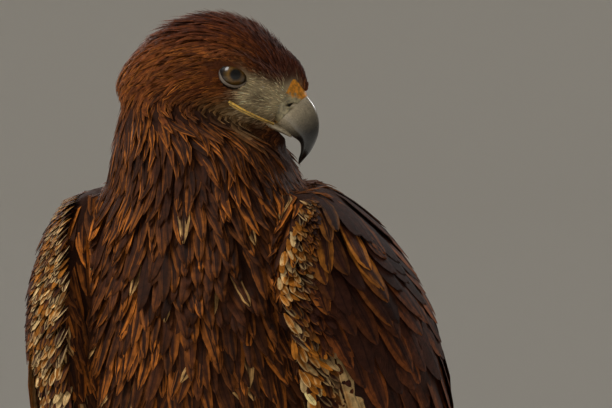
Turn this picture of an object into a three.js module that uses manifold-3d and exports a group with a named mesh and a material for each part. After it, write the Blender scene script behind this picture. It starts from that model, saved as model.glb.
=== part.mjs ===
// A golden eagle at life size, standing still with its head turned to its left.
// Millimetres, +Z up. The bird faces -Y and its left side is +X. Its feet stand at z = 0.

import * as THREE from 'three';
import { mergeVertices } from 'three/addons/utils/BufferGeometryUtils.js';
import Module from 'manifold-3d';

const wasm = await Module();
wasm.setup();

// Driving dimensions

const GAP = 0.3; // clearance between two nodes
const GROW = 0.4; // how far a cutter stands off its own solid
const ORIGIN_Y = 122.5; // the middle of the bird's length, in the frame of the rows below

// The trunk from the skull to the root of the tail.
// Each row: centre x, y, z, half width, depth to the back, depth to the belly.
const TRUNK = [
  [-35, -61, 630, 33, 32, 32],
  [-26, -61, 609, 46, 44, 44],
  [-14, -60, 585, 64, 60, 60],
  [-10, -58, 560, 72, 67, 68],
  [-6, -53, 525, 86, 80, 84],
  [-2, -38, 475, 94, 94, 100],
  [0, -10, 425, 97, 100, 106],
  [0, 27, 377, 95, 96, 102],
  [0, 66, 334, 88, 84, 88],
  [0, 108, 292, 74, 62, 66],
  [0, 147, 260, 54, 40, 44],
  [0, 180, 236, 34, 24, 26],
];
const TRUNK_ENDS = [14, 12]; // how far its ends are rounded out
const TRUNK_SIDES = 20;
const COLLAR_Z = 563; // where the neck ends and the torso begins
// Rows of pointed feathers round the neck: first and last angle from the back, in degrees, rows of
// TRUNK at root and tip, heights of root, middle and tip over the skin.
const HACKLES = [
  { count: 7, from: -160, to: 30, root: 0.7, tip: 1.95, width: 28, heights: [-3, 2.4, 5.8] },
  { count: 7, from: -175, to: 30, root: 1.35, tip: 2.75, width: 32, heights: [-3, 2.4, 5.8] },
];
const HACKLE_STEP = 1.4; // height between neighbours in one row
const SCATTER = { place: 0.06, tip: 0.06, width: 0.04 }; // how unevenly feathers lie

// The sheet that the folded wings lie on, from the shoulder to the wing tips.
// Each row: centre x, y, z, half width, height over the back, depth to the leading edge.
const WING = [
  [-10, -58, 560, 88, 76, 70],
  [-6, -53, 525, 112, 92, 84],
  [-2, -38, 475, 131, 105, 91],
  [0, -10, 425, 134, 111, 93],
  [0, 27, 377, 131, 107, 90],
  [0, 66, 334, 123, 94, 80],
  [0, 108, 292, 110, 74, 66],
  [0, 147, 260, 97, 54, 54],
  [0, 180, 236, 88, 42, 46],
  [0, 228, 185, 76, 33, 38],
  [0, 276, 134, 63, 27, 30],
  [0, 324, 83, 48, 21, 22],
  [0, 352, 53, 37, 16, 16],
];
// At each row of WING, the angles from the back of the wing's upper and leading edges, in degrees.
const WING_EDGES = [
  [45, 118], [26, 141], [14, 144], [9, 141], [7, 134], [6, 126], [6, 118],
  [7, 112], [8, 107], [9, 102], [11, 92], [14, 84], [18, 78],
];
// The wing's arm: row of WING, height of its outer face over the sheet, thickness.
const WING_ARM = [
  [0, -8, 9],
  [0.25, -3, 24],
  [0.8, -1.5, 40],
  [1.6, -1.5, 44],
  [2.5, -3, 44],
  [3.4, -5, 40],
  [4.4, -6.5, 24],
  [5.3, -8, 14],
  [6, -9.5, 8],
];
const ARM_SPAN = 5; // steps across the arm

// The wing's tiers of feathers, from the shoulder down. root and tip are rows of WING at the back
// and at the leading edge, across the places of the first and last feather.
const TIERS = [
  { count: 6, root: [0.8, 0.8], tip: [2.5, 2.3], across: [0.1, 0.93], width: 64 },
  { count: 6, root: [1.5, 1.5], tip: [3.5, 3.3], across: [0.1, 0.93], width: 64 },
  { count: 6, root: [2.3, 2.4], tip: [5, 4.7], across: [0.1, 0.93], width: 64 },
];
const TIER_HEIGHTS = [-3.5, 3, 9.8, 12.2]; // over the arm, from root to tip
const SECONDARIES = {
  count: 8, root: [3.2, 3.6], tip: [7.4, 8.4], across: [0.13, 0.88], width: 44,
};
const SECONDARY_HEIGHTS = [-9, -3, -1.5, -0.8, 0]; // over the sheet
const PRIMARIES = {
  count: 5, root: [4.9, 4.9], tip: [10, 10.9, 11.7, 12, 11.3], across: [0.42, 0.86], width: 33,
};
const PRIMARY_HEIGHTS = [-13, -10, -8.6, -6, -5];
const VANE_THICKNESS = 0.7;
const VANE_STEP = 1.85; // height between neighbours in one tier
const MIDLINE = 1.5; // how near the middle plane a wing feather comes
// Width along a feather, as shares of its length and full width.
const QUILL = [[0, 0.3], [0.15, 0.8], [0.55, 1], [0.9, 0.8], [1, 0.26]];
const COVERT = [[0, 0.3], [0.15, 0.78], [0.78, 0.94], [1, 0.3]];
const LANCE = [[0, 0.5], [0.32, 1], [1, 0.18]];
const SEED = 7;

// The head, in its own frame: forward, left and up from the point between the eyes.
const HEAD_AT = new THREE.Vector3(14.5, -60, 634);
const HEAD_YAW = 5; // degrees past the left shoulder
const HEAD_PITCH = 15; // degrees down
// Each row: forward, crown, throat, half width, height of the widest line.
const HEAD = [
  [-75, -12, -38, 13, -25],
  [-68, 5, -45, 25, -20],
  [-58, 19, -48, 33, -16],
  [-45, 29, -48, 37.5, -12],
  [-30, 34.5, -46, 37, -8],
  [-15, 36, -42, 33.5, -4],
  [0, 34.5, -38, 28, -2],
  [12, 30, -34, 24.5, -2],
  [23, 23, -29, 20, -4],
  [31, 15, -25, 15, -6],
  [36, 8, -22, 10, -8],
];
const HEAD_ENDS = [[-79, -27], [38, -8]]; // forward, up
const HEAD_SIDES = 18;
const HEAD_FULLNESS = 2.2; // exponent of the head's sections
const EYE = { forward: -4, side: 20.5, up: -0.5, radius: 11.5, toe: 20 };
const LID = { radius: 9, thickness: 1.9, reach: 7.2 };
// The brow over each eye: forward, side, up, radius.
const BROW = [
  [-16, 30, 9, 2.5],
  [-8, 32.5, 11, 4.5],
  [2, 31.5, 10.5, 5],
  [11, 27.5, 8.5, 5],
  [21, 21.5, 6, 4.5],
  [31, 14, 4, 3],
];

// The bill from the cere to the hook. Each row: top forward, up; bottom forward, up; half width.
const CERE = [
  [24, 8, 20, -20, 14],
  [33, 9.4, 26, -22, 12.5],
  [38.5, 5, 29, -24, 11.5],
  [44, -2.8, 31, -25.5, 10.5],
];
const BILL = [
  [44.6, -3.1, 31.6, -25.8, 10.4],
  [51, -8.2, 36.5, -28, 9.3],
  [56.2, -16.5, 42, -30.5, 8],
  [58, -26, 48, -33, 6.2],
  [56.2, -36.4, 50, -38.5, 4],
  [52.5, -44, 49.8, -43, 1.6],
];
const BILL_TIP = [50.8, -46.5];
const LOWER_BILL = [
  [20, -22, 18, -31, 10],
  [31, -26.5, 30, -32, 8.5],
  [38, -30, 37.5, -34.5, 6],
  [43.5, -32.8, 43.2, -35.6, 3],
];
const BILL_SIDES = 14;
const NOSTRIL = { forward: 36.5, side: 13, up: -9, width: 1.5, depth: 6, height: 3.2, lean: 25 };
// The yellow corner of the mouth: forward, side, up, radius.
const GAPE = [
  [-1, 26.5, -17.5, 1.2],
  [8, 24.5, -20, 2],
  [18, 19.5, -22, 2.4],
  [28, 12, -23.5, 2.6],
];

// The legs, for the left side; the right one is mirrored.
// Each thigh row: centre x, y, z, half width, half length fore and aft.
const THIGH = [
  [50, 20, 345, 40, 52],
  [56, 18, 300, 41, 56],
  [58, 16, 250, 37, 50],
  [58, 22, 200, 31, 42],
  [57, 32, 155, 24, 33],
  [56, 42, 118, 18, 24],
];
const THIGH_ENDS = [12, 8];
const THIGH_SIDES = 14;
// Rows of long feathers on the back and sides of each thigh, as for the neck.
const TROUSERS = [
  { count: 6, from: -98, to: 88, root: 3.3, tip: 5.6, width: 32, heights: [-3, 2.6, 5.4] },
];
const ANKLE = new THREE.Vector3(56, 43, 126);
const FOOT = new THREE.Vector3(54, 16, 17);
const SHANK_RADII = [15, 15, 13.5, 12.5];
const PALM = [15, 17, 13];
const TOE_DROP = 1.2; // how deep the soles are cut flat
const TOE_TAPER = [1.1, 1, 0.92, 0.76]; // radius along each toe
// Each toe: name, angle from straight ahead (outwards positive), length, radius, claw length.
const TOES = [
  ['inner', -32, 52, 9, 46],
  ['middle', 3, 68, 9, 38],
  ['outer', 40, 56, 8.5, 29],
  ['hallux', 188, 33, 10, 52],
];
const CLAW_SEAT = 4; // how deep a claw sits in its toe
// Along each claw: share of its length, height over the middle of its toe.
const CLAW_ARCH = [[0, -1.5], [0.3, 4], [0.65, 4], [0.9, -1]];
const CLAW_POINT = { height: 3, radius: 0.5 };
const CLAW_TAPER = [0.55, 0.52, 0.385, 0.19]; // radius as a share of its toe's

// The tail, laid along one straight line from its root.
const TAIL_ROOT = new THREE.Vector3(0, 180, 236);
const TAIL_FALL = 47; // degrees below the horizon
const TAIL_LENGTH = 298;
const TAIL_DROP = 5; // how far the top feather lies under the trunk's line
const RECTRICES = { pairs: 6, width: 44, root: 20, rootSpacing: 2.2, splay: 1.05, pitch: 1.05 };
const RECTRIX = [[0, 0.4], [0.2, 0.85], [0.75, 1], [0.94, 0.8], [1, 0.34]];
// The feathered rump: distance, half width, top, bottom.
const RUMP = [
  [-20, 30, 10, -24],
  [30, 29, 6, -20],
  [80, 28, 3, -17],
  [120, 24, 0, -13],
  [142, 14, -4, -9],
];
const RUMP_SIDES = 12;
// The coverts over and under the root of the tail, with heights from root to tip.
const TAIL_COVERTS = [
  { places: [-18, 18, 0], pitch: 1.1, root: 18, tip: 150, width: 34, heights: [3, 7.5, 4.5, 4] },
  {
    places: [0, -17, 17],
    pitch: -1.1,
    root: 14,
    tip: 170,
    width: 38,
    heights: [-16, -21.5, -17, -16],
  },
];
const COVERT_SPLAY = 0.12; // degrees for each millimetre from the middle
const COVERT_ROUNDING = 0.6; // how much shorter for each millimetre from the middle

// Shared geometry

function radians(degrees) {
  return degrees * Math.PI / 180;
}

function vector(x, y, z) {
  return new THREE.Vector3(x, y, z);
}

// A row of a table at a fractional index, on a smooth curve through the rows.
function along(rows, s) {
  const last = rows.length - 1;
  const i = Math.min(Math.max(Math.floor(s), 0), last - 1);
  const t = s - i;
  const row = (k) => rows[Math.min(Math.max(k, 0), last)];
  return rows[i].map((value, c) => {
    const [a, b, d, e] = [row(i - 1)[c], value, row(i + 1)[c], row(i + 2)[c]];
    const start = (d - a) / 2;
    const end = (e - b) / 2;
    return b + t * (start + t * (3 * (d - b) - 2 * start - end + t * (2 * (b - d) + start + end)));
  });
}

// A closed geometry made a solid, pushed out along its normals by grow.
function solid(source, grow = 0) {
  const bare = source.clone();
  bare.deleteAttribute('uv');
  bare.deleteAttribute('normal');
  const geometry = mergeVertices(bare, 1e-4);
  const position = geometry.attributes.position;
  const index = geometry.index.array;
  const corner = [0, 1, 2].map(() => new THREE.Vector3());
  let volume = 0;
  for (let i = 0; i < index.length; i += 3) {
    corner.forEach((point, k) => point.fromBufferAttribute(position, index[i + k]));
    volume += corner[0].dot(corner[1].clone().cross(corner[2])) / 6;
  }
  if (volume < 0) {
    for (let i = 0; i < index.length; i += 3) {
      [index[i], index[i + 1]] = [index[i + 1], index[i]];
    }
  }
  if (grow > 0) {
    geometry.computeVertexNormals();
    const normal = geometry.attributes.normal;
    for (let i = 0; i < position.count; i++) {
      position.setXYZ(
        i,
        position.getX(i) + grow * normal.getX(i),
        position.getY(i) + grow * normal.getY(i),
        position.getZ(i) + grow * normal.getZ(i),
      );
    }
  }
  return new wasm.Manifold(new wasm.Mesh({
    numProp: 3,
    vertProperties: new Float32Array(position.array),
    triVerts: new Uint32Array(index),
  }));
}

function joined(solids) {
  return wasm.Manifold.union(solids);
}

function cut(body, cutters) {
  return cutters.reduce((left, cutter) => left.subtract(cutter), body);
}

function largest(body) {
  return body.decompose().reduce((a, b) => (a.volume() > b.volume() ? a : b));
}

// A closed skin through rings of points, with a point at each end.
function loft(rings, start, end, grow = 0) {
  const sides = rings[0].length;
  const geometry = new THREE.SphereGeometry(1, sides, rings.length + 1);
  const position = geometry.attributes.position;
  for (let row = 0; row <= rings.length + 1; row++) {
    for (let column = 0; column <= sides; column++) {
      let point = start;
      if (row > rings.length) {
        point = end;
      } else if (row > 0) {
        point = rings[row - 1][column % sides];
      }
      position.setXYZ(row * (sides + 1) + column, point.x, point.y, point.z);
    }
  }
  return solid(geometry, grow);
}

function middle(ring) {
  const sum = ring.reduce((total, point) => total.add(point), new THREE.Vector3());
  return sum.divideScalar(ring.length);
}

// A round rod that tapers along a smooth curve through points, with blunt rounded ends.
function rod(points, radii, sides, steps, grow = 0) {
  const curve = new THREE.CatmullRomCurve3(points);
  const frames = curve.computeFrenetFrames(steps);
  const rings = [];
  for (let i = 0; i <= steps; i++) {
    const centre = curve.getPoint(i / steps);
    const [radius] = along(radii.map((r) => [r]), i / steps * (radii.length - 1));
    rings.push(Array.from({ length: sides }, (_, k) => {
      const angle = 2 * Math.PI * k / sides;
      return centre.clone()
        .addScaledVector(frames.normals[i], radius * Math.cos(angle))
        .addScaledVector(frames.binormals[i], radius * Math.sin(angle));
    }));
  }
  const bulge = 0.5;
  const first = points[0].clone().addScaledVector(frames.tangents[0], -bulge * radii[0]);
  const lastRadius = radii[radii.length - 1];
  const last = points[points.length - 1].clone()
    .addScaledVector(frames.tangents[steps], bulge * lastRadius);
  return loft(rings, first, last, grow);
}

// The trunk: one tapered body that the neck and torso are parted from

function spine(rows, s) {
  const [x, y, z] = along(rows, s);
  const [x1, y1, z1] = along(rows, s + 0.05);
  const [x0, y0, z0] = along(rows, s - 0.05);
  const tangent = vector(x1 - x0, y1 - y0, z1 - z0).normalize();
  const back = vector(1, 0, 0).cross(tangent).normalize();
  return { centre: vector(x, y, z), tangent, back };
}

// Two sheets that are split alike, joined round the rim. at(row, column, face) is a point of the
// outer face, 0, or the inner face, 1.
function plate(rows, columns, at) {
  const points = [];
  for (const face of [0, 1]) {
    for (let row = 0; row < rows; row++) {
      for (let column = 0; column <= columns; column++) {
        points.push(at(row, column, face));
      }
    }
  }
  const sheet = new THREE.PlaneGeometry(1, 1, columns, rows - 1).index.array;
  const wide = columns + 1;
  const count = rows * wide;
  const index = [];
  for (let i = 0; i < sheet.length; i += 3) {
    const [a, b, c] = [sheet[i], sheet[i + 1], sheet[i + 2]];
    index.push(a, b, c, a + count, c + count, b + count);
  }
  const rim = [];
  for (let row = 0; row < rows - 1; row++) {
    rim.push(row * wide);
  }
  for (let column = 0; column < columns; column++) {
    rim.push(count - wide + column);
  }
  for (let row = rows - 1; row > 0; row--) {
    rim.push(row * wide + columns);
  }
  for (let column = columns; column > 0; column--) {
    rim.push(column);
  }
  rim.forEach((a, i) => {
    const b = rim[(i + 1) % rim.length];
    index.push(b, a, a + count, b, a + count, b + count);
  });
  const geometry = new THREE.BufferGeometry().setFromPoints(points);
  geometry.setIndex(index);
  return solid(geometry);
}

// A thin feather. at(t, across, height, row) is a point on it, with t from root to tip and across
// from -1 to 1.
function vane(at, outline, columns) {
  return plate(outline.length, columns, (row, column, face) => {
    const [t, share] = outline[row];
    return at(t, share * (2 * column / columns - 1), VANE_THICKNESS * (0.5 - face), row);
  });
}

function mix(a, b, t) {
  return a + (b - a) * t;
}

// A seeded random number from -1 to 1.
function chance(seed) {
  let state = seed;
  return () => {
    state = (state * 1664525 + 1013904223) % 4294967296;
    return state / 2147483648 - 1;
  };
}

function trunk(grow = 0) {
  const rings = [];
  const last = TRUNK.length - 1;
  for (let s = 0; s <= last; s++) {
    const { centre, back } = spine(TRUNK, s);
    const [, , , half, dorsal, ventral] = TRUNK[s];
    rings.push(Array.from({ length: TRUNK_SIDES }, (_, k) => {
      const angle = 2 * Math.PI * k / TRUNK_SIDES;
      const depth = Math.cos(angle) > 0 ? dorsal : ventral;
      return centre.clone()
        .add(vector(half * Math.sin(angle), 0, 0))
        .addScaledVector(back, depth * Math.cos(angle));
    }));
  }
  const top = spine(TRUNK, 0);
  const bottom = spine(TRUNK, last);
  const start = top.centre.clone().addScaledVector(top.tangent, -TRUNK_ENDS[0]);
  const end = bottom.centre.clone().addScaledVector(bottom.tangent, TRUNK_ENDS[1]);
  return loft(rings, start, end, grow);
}

function torso(grow = 0) {
  return trunk(grow).trimByPlane([0, 0, -1], GAP / 2 - grow - COLLAR_Z);
}

// The head and what it carries

const pitch = radians(HEAD_PITCH);
const yaw = radians(HEAD_YAW);
const FORWARD = vector(Math.cos(pitch) * Math.cos(yaw), Math.cos(pitch) * Math.sin(yaw), -Math.sin(pitch));
const LEFT = vector(-Math.sin(yaw), Math.cos(yaw), 0);
const UP = FORWARD.clone().cross(LEFT);

function inHead(forward, left, up) {
  return HEAD_AT.clone()
    .addScaledVector(FORWARD, forward)
    .addScaledVector(LEFT, left)
    .addScaledVector(UP, up);
}

function power(value, exponent) {
  return Math.sign(value) * Math.abs(value) ** exponent;
}

function skull(grow = 0) {
  const rings = HEAD.map(([forward, crown, throat, half, widest]) => (
    Array.from({ length: HEAD_SIDES }, (_, k) => {
      const angle = 2 * Math.PI * k / HEAD_SIDES;
      const rise = power(Math.cos(angle), 2 / HEAD_FULLNESS);
      const reach = rise > 0 ? crown - widest : widest - throat;
      const side = half * power(Math.sin(angle), 2 / HEAD_FULLNESS);
      return inHead(forward, side, widest + reach * rise);
    })
  ));
  const [start, end] = HEAD_ENDS.map(([forward, up]) => inHead(forward, 0, up));
  return loft(rings, start, end, grow);
}

function brow(side, grow = 0) {
  const points = BROW.map(([forward, out, up]) => inHead(forward, side * out, up));
  return rod(points, BROW.map((row) => row[3]), 6, 5, grow);
}

function eyeball(side, grow = 0) {
  const centre = inHead(EYE.forward, side * EYE.side, EYE.up);
  const geometry = new THREE.SphereGeometry(EYE.radius, 12, 8);
  geometry.rotateX(Math.PI / 2);
  geometry.translate(centre.x, centre.y, centre.z);
  return solid(geometry, grow);
}

// The lids are one raised ring round the eye.
function lids(side, grow = 0) {
  const toe = radians(EYE.toe);
  const look = LEFT.clone().multiplyScalar(side * Math.cos(toe)).addScaledVector(FORWARD, Math.sin(toe));
  const centre = inHead(EYE.forward, side * EYE.side, EYE.up).addScaledVector(look, LID.reach);
  const geometry = new THREE.TorusGeometry(LID.radius, LID.thickness, 5, 12);
  const turn = new THREE.Quaternion().setFromUnitVectors(vector(0, 0, 1), look);
  geometry.applyQuaternion(turn);
  geometry.translate(centre.x, centre.y, centre.z);
  return solid(geometry, grow);
}

function head() {
  const body = joined([skull(), brow(1), brow(-1), lids(1), lids(-1)]);
  return cut(body, [eyeball(1, GROW), eyeball(-1, GROW)]);
}

function headCutter() {
  return joined([skull(GROW), brow(1, GROW), brow(-1, GROW), lids(1, GROW), lids(-1, GROW)]);
}

// One half of the bill: rings that lean with their top and bottom lines.
function billLoft(rows, grow = 0, tip = null) {
  const rings = rows.map(([topForward, topUp, bottomForward, bottomUp, half]) => (
    Array.from({ length: BILL_SIDES }, (_, k) => {
      const angle = 2 * Math.PI * k / BILL_SIDES;
      const share = (1 + Math.cos(angle)) / 2;
      return inHead(
        bottomForward + (topForward - bottomForward) * share,
        half * Math.sin(angle) * (1 - 0.25 * Math.cos(angle)),
        bottomUp + (topUp - bottomUp) * share,
      );
    })
  ));
  return loft(rings, middle(rings[0]), tip ?? middle(rings[rings.length - 1]), grow);
}

function upperBill(grow = 0) {
  return billLoft(BILL, grow, inHead(BILL_TIP[0], 0, BILL_TIP[1]));
}

function nostril(side) {
  const geometry = new THREE.SphereGeometry(1, 10, 8);
  geometry.scale(NOSTRIL.width, NOSTRIL.depth, NOSTRIL.height);
  const matrix = new THREE.Matrix4().makeBasis(FORWARD, LEFT, UP);
  geometry.rotateY(radians(NOSTRIL.lean));
  geometry.applyMatrix4(matrix);
  const centre = inHead(NOSTRIL.forward, side * NOSTRIL.side, NOSTRIL.up);
  geometry.translate(centre.x, centre.y, centre.z);
  return solid(geometry);
}

function gape(side, grow = 0) {
  const points = GAPE.map(([forward, out, up]) => inHead(forward, side * out, up));
  return rod(points, GAPE.map((row) => row[3]), 8, 8, grow);
}

function cere() {
  const body = joined([billLoft(CERE), gape(1), gape(-1)]);
  return largest(cut(body, [headCutter(), nostril(1), nostril(-1), upperBill(GROW)]));
}

function lowerBill() {
  const body = billLoft(LOWER_BILL);
  const corners = joined([gape(1, GROW), gape(-1, GROW)]);
  return largest(cut(body, [headCutter(), billLoft(CERE, GROW), upperBill(GROW), corners]));
}

function onTrunk(s, angle, height) {
  const { centre, back } = spine(TRUNK, s);
  const [, , , half, dorsal, ventral] = along(TRUNK, s);
  const depth = Math.cos(angle) > 0 ? dorsal : ventral;
  return centre
    .add(vector((half + height) * Math.sin(angle), 0, 0))
    .addScaledVector(back, (depth + height) * Math.cos(angle));
}

// Pointed feathers round a body of rings. on(s, angle, height) is a point over its skin.
function pointedVanes(on, { count, from, to, root, tip, width, heights }, random) {
  const spacing = radians(to - from) / (count - 1);
  return Array.from({ length: count }, (_, k) => {
    const middleAngle = radians(from) + spacing * (k + SCATTER.place * random());
    const end = tip + SCATTER.tip * random();
    const at = (t, across, rise, row) => {
      const s = mix(root, end, t);
      const arc = on(s, middleAngle, 0).distanceTo(on(s, middleAngle + 0.01, 0)) / 0.01;
      const turn = across * width / 2 / arc;
      return on(s, middleAngle + turn, heights[row] + rise + HACKLE_STEP * turn / spacing);
    };
    return vane(at, LANCE, 1);
  });
}

function neck() {
  const random = chance(SEED);
  const hackles = HACKLES.flatMap((row) => pointedVanes(onTrunk, row, random));
  const body = joined([trunk(), ...hackles]);
  const mouth = [billLoft(LOWER_BILL, GROW), upperBill(GROW), gape(1, GROW), gape(-1, GROW)];
  const collar = body.trimByPlane([0, 0, 1], COLLAR_Z + GAP / 2);
  return largest(cut(collar, [skull(GROW), lids(-1, GROW), ...mouth]));
}

// Wings

// A point on the wings' sheet at row s, angle from the back and height over the sheet.
function onWing(side, s, angle, height) {
  const { centre, back } = spine(WING, s);
  const [, , , half, dorsal, ventral] = along(WING, s);
  const depth = Math.cos(angle) > 0 ? dorsal : ventral;
  return centre.clone()
    .add(vector(side * (half + height) * Math.sin(angle), 0, 0))
    .addScaledVector(back, (depth + height) * Math.cos(angle));
}

function wingAngle(s, across) {
  const [upper, leading] = along(WING_EDGES, s);
  return radians(upper + (leading - upper) * across);
}

// The feathered arm under the coverts, one thick shell that hugs the body.
function wingArm(side) {
  return plate(WING_ARM.length, ARM_SPAN, (row, column, face) => {
    const [s, outer, thickness] = WING_ARM[row];
    return onWing(side, s, wingAngle(s, column / ARM_SPAN), outer - face * thickness);
  });
}

// How far the angle turns for one millimetre across the sheet.
function turnPerMillimetre(side, s, angle) {
  const step = 0.01;
  return step / onWing(side, s, angle + step, 0).distanceTo(onWing(side, s, angle, 0));
}

// The height of the arm's outer face over the sheet at row s.
function armHeight(s) {
  const next = Math.max(1, WING_ARM.findIndex((row) => row[0] >= s));
  const [a, b] = [WING_ARM[next - 1], WING_ARM[next]];
  return mix(a[1], b[1], (s - a[0]) / (b[0] - a[0]));
}

// A feather wrapped on the sheet, its edge towards the leading edge raised over its neighbour.
function wrappedVane(side, { root, tip, across, spacing, width, outline, columns, heightAt }) {
  const at = (t, place, rise, row) => {
    const s = mix(root, tip, t);
    const centre = wingAngle(s, across);
    const turn = turnPerMillimetre(side, s, centre);
    const slope = VANE_STEP * turn / (wingAngle(s, across + spacing) - centre);
    const offset = place * width / 2;
    const height = heightAt(row, s) + rise + slope * offset;
    const [, , , half] = along(WING, s);
    const nearest = Math.asin(MIDLINE / (half + height));
    return onWing(side, s, Math.max(centre + offset * turn, nearest), height);
  };
  return vane(at, outline, columns);
}

// The value at a share of the way along a short list, on a smooth curve.
function onList(values, share) {
  return along(values.map((value) => [value]), share * (values.length - 1))[0];
}

function tierVanes(side, tier, random, outline, columns, heightAt) {
  const spacing = (tier.across[1] - tier.across[0]) / (tier.count - 1);
  return Array.from({ length: tier.count }, (_, k) => {
    const share = k / (tier.count - 1);
    return wrappedVane(side, {
      root: onList(tier.root, share),
      tip: onList(tier.tip, share) + SCATTER.tip * random(),
      across: tier.across[0] + spacing * (k + SCATTER.place * random()),
      spacing,
      width: tier.width * (1 + SCATTER.width * random()),
      outline,
      columns,
      heightAt,
    });
  });
}

function wingFeathers(side) {
  const random = chance(SEED + side);
  const overArm = (row, s) => armHeight(s) + TIER_HEIGHTS[row];
  return [
    ...TIERS.flatMap((tier) => tierVanes(side, tier, random, COVERT, 2, overArm)),
    ...tierVanes(side, SECONDARIES, random, QUILL, 3, (row) => SECONDARY_HEIGHTS[row]),
    ...tierVanes(side, PRIMARIES, random, QUILL, 3, (row) => PRIMARY_HEIGHTS[row]),
  ];
}

function wing(side, neighbours) {
  const body = joined([wingArm(side), ...wingFeathers(side)]);
  return largest(cut(body, neighbours));
}

// Tail

const fall = radians(TAIL_FALL);
const TAIL_AXIS = vector(0, Math.cos(fall), -Math.sin(fall));
const TAIL_TOP = vector(1, 0, 0).cross(TAIL_AXIS);

function onTail(distance, side, height) {
  return TAIL_ROOT.clone()
    .addScaledVector(TAIL_AXIS, distance)
    .add(vector(side, 0, 0))
    .addScaledVector(TAIL_TOP, height - TAIL_DROP);
}

// A flat feather of the tail, turned by splay degrees about the root of the tail.
function tailVane(side, splay, root, tip, width, heights, outline) {
  const at = (t, across, rise, row) => {
    const distance = mix(root, tip, t);
    const spread = side + distance * Math.tan(radians(splay));
    return onTail(distance, spread + across * width / 2, heights[row] + rise);
  };
  return vane(at, outline, 1);
}

function tailFeathers() {
  const feathers = [];
  for (let pair = 0; pair < RECTRICES.pairs; pair++) {
    for (const side of [1, -1]) {
      const place = side * (pair + 0.5);
      const height = -RECTRICES.pitch * (2 * pair + (side > 0 ? 0 : 1));
      feathers.push(tailVane(
        place * RECTRICES.rootSpacing,
        place * RECTRICES.splay,
        RECTRICES.root,
        TAIL_LENGTH - 2 * pair,
        RECTRICES.width,
        RECTRIX.map(() => height),
        RECTRIX,
      ));
    }
  }
  for (const coverts of TAIL_COVERTS) {
    coverts.places.forEach((place, k) => {
      const stack = coverts.pitch * k;
      feathers.push(tailVane(
        place,
        place * COVERT_SPLAY,
        coverts.root,
        coverts.tip - Math.abs(place) * COVERT_ROUNDING,
        coverts.width,
        coverts.heights.map((height) => height + stack),
        COVERT,
      ));
    });
  }
  return feathers;
}

function tailRump() {
  const rings = RUMP.map(([distance, half, top, bottom]) => (
    Array.from({ length: RUMP_SIDES }, (_, k) => {
      const angle = 2 * Math.PI * k / RUMP_SIDES;
      const height = (top + bottom) / 2 + (top - bottom) / 2 * Math.cos(angle);
      return onTail(distance, half * Math.sin(angle), height);
    })
  ));
  return loft(rings, middle(rings[0]), middle(rings[rings.length - 1]));
}

function tail(neighbours) {
  return largest(cut(joined([tailRump(), ...tailFeathers()]), neighbours));
}

// Legs

function mirrored(point, side) {
  return vector(side * point.x, point.y, point.z);
}

function thigh(side, grow = 0) {
  const rings = [];
  for (const [x, y, z, halfX, halfY] of THIGH) {
    rings.push(Array.from({ length: THIGH_SIDES }, (_, k) => {
      const angle = 2 * Math.PI * k / THIGH_SIDES;
      return vector(side * (x + halfX * Math.sin(angle)), y + halfY * Math.cos(angle), z);
    }));
  }
  const [x0, y0, z0] = THIGH[0];
  const [x1, y1, z1] = THIGH[THIGH.length - 1];
  const start = vector(side * x0, y0, z0 + THIGH_ENDS[0]);
  const end = vector(side * x1, y1, z1 - THIGH_ENDS[1]);
  return loft(rings, start, end, grow);
}

// A point over the skin of the thigh; below its last row the line runs on straight down.
function onThigh(side, s, angle, height) {
  const last = THIGH.length - 1;
  const [x, y, z, halfX, halfY] = along(THIGH, Math.min(s, last));
  const below = Math.max(0, s - last) * (THIGH[last - 1][2] - THIGH[last][2]);
  return vector(
    side * (x + (halfX + height) * Math.sin(angle)),
    y + (halfY + height) * Math.cos(angle),
    z - below,
  );
}

function trousers(side) {
  const random = chance(SEED + side);
  const on = (s, angle, height) => onThigh(side, s, angle, height);
  return TROUSERS.flatMap((row) => pointedVanes(on, row, random));
}

function foot(side, grow = 0) {
  const pieces = [];
  const palm = new THREE.SphereGeometry(1, 10, 6);
  palm.scale(...PALM);
  palm.translate(side * FOOT.x, FOOT.y, PALM[2] - TOE_DROP);
  pieces.push(solid(palm, grow));
  for (const [, angle, length, radius] of TOES) {
    const heading = vector(side * Math.sin(radians(angle)), -Math.cos(radians(angle)), 0);
    const start = vector(side * FOOT.x, FOOT.y, 0);
    const radii = TOE_TAPER.map((share) => radius * share);
    const points = radii.map((r, i) => (
      start.clone().addScaledVector(heading, length * i / (radii.length - 1)).setZ(r - TOE_DROP)
    ));
    pieces.push(rod(points, radii, 7, 3, grow));
  }
  return joined(pieces).trimByPlane([0, 0, 1], grow > 0 ? -1 : 0);
}

function claw(side, [, angle, length, radius, clawLength]) {
  const heading = vector(side * Math.sin(radians(angle)), -Math.cos(radians(angle)), 0);
  const base = vector(side * FOOT.x, FOOT.y, 0).addScaledVector(heading, length - CLAW_SEAT);
  const arch = [...CLAW_ARCH.map(([t, rise]) => [t, radius + rise]), [1, CLAW_POINT.height]];
  const points = arch.map(([t, z]) => base.clone().addScaledVector(heading, t * clawLength).setZ(z));
  const radii = [...CLAW_TAPER.map((share) => share * radius), CLAW_POINT.radius];
  return rod(points, radii, 6, 5);
}

function shank(side, grow = 0) {
  const knee = mirrored(ANKLE, side);
  const sole = mirrored(FOOT, side);
  const points = [0, 0.35, 0.7, 1].map((t) => knee.clone().lerp(sole, t));
  return rod(points, SHANK_RADII, 12, 4, grow);
}

// Assembly

const eagle = new THREE.Group();
eagle.position.y = -ORIGIN_Y;

const PLUMAGE = { color: 0x4a3020, roughness: 0.85, metalness: 0 };
const GOLDEN = { color: 0x7a4a24, roughness: 0.85, metalness: 0 };
const YELLOW_SKIN = { color: 0xe0b030, roughness: 0.5, metalness: 0 };
const HORN = { color: 0x2b2c31, roughness: 0.3, metalness: 0 };
const IRIS = { color: 0x6b3a14, roughness: 0.05, metalness: 0 };

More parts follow.
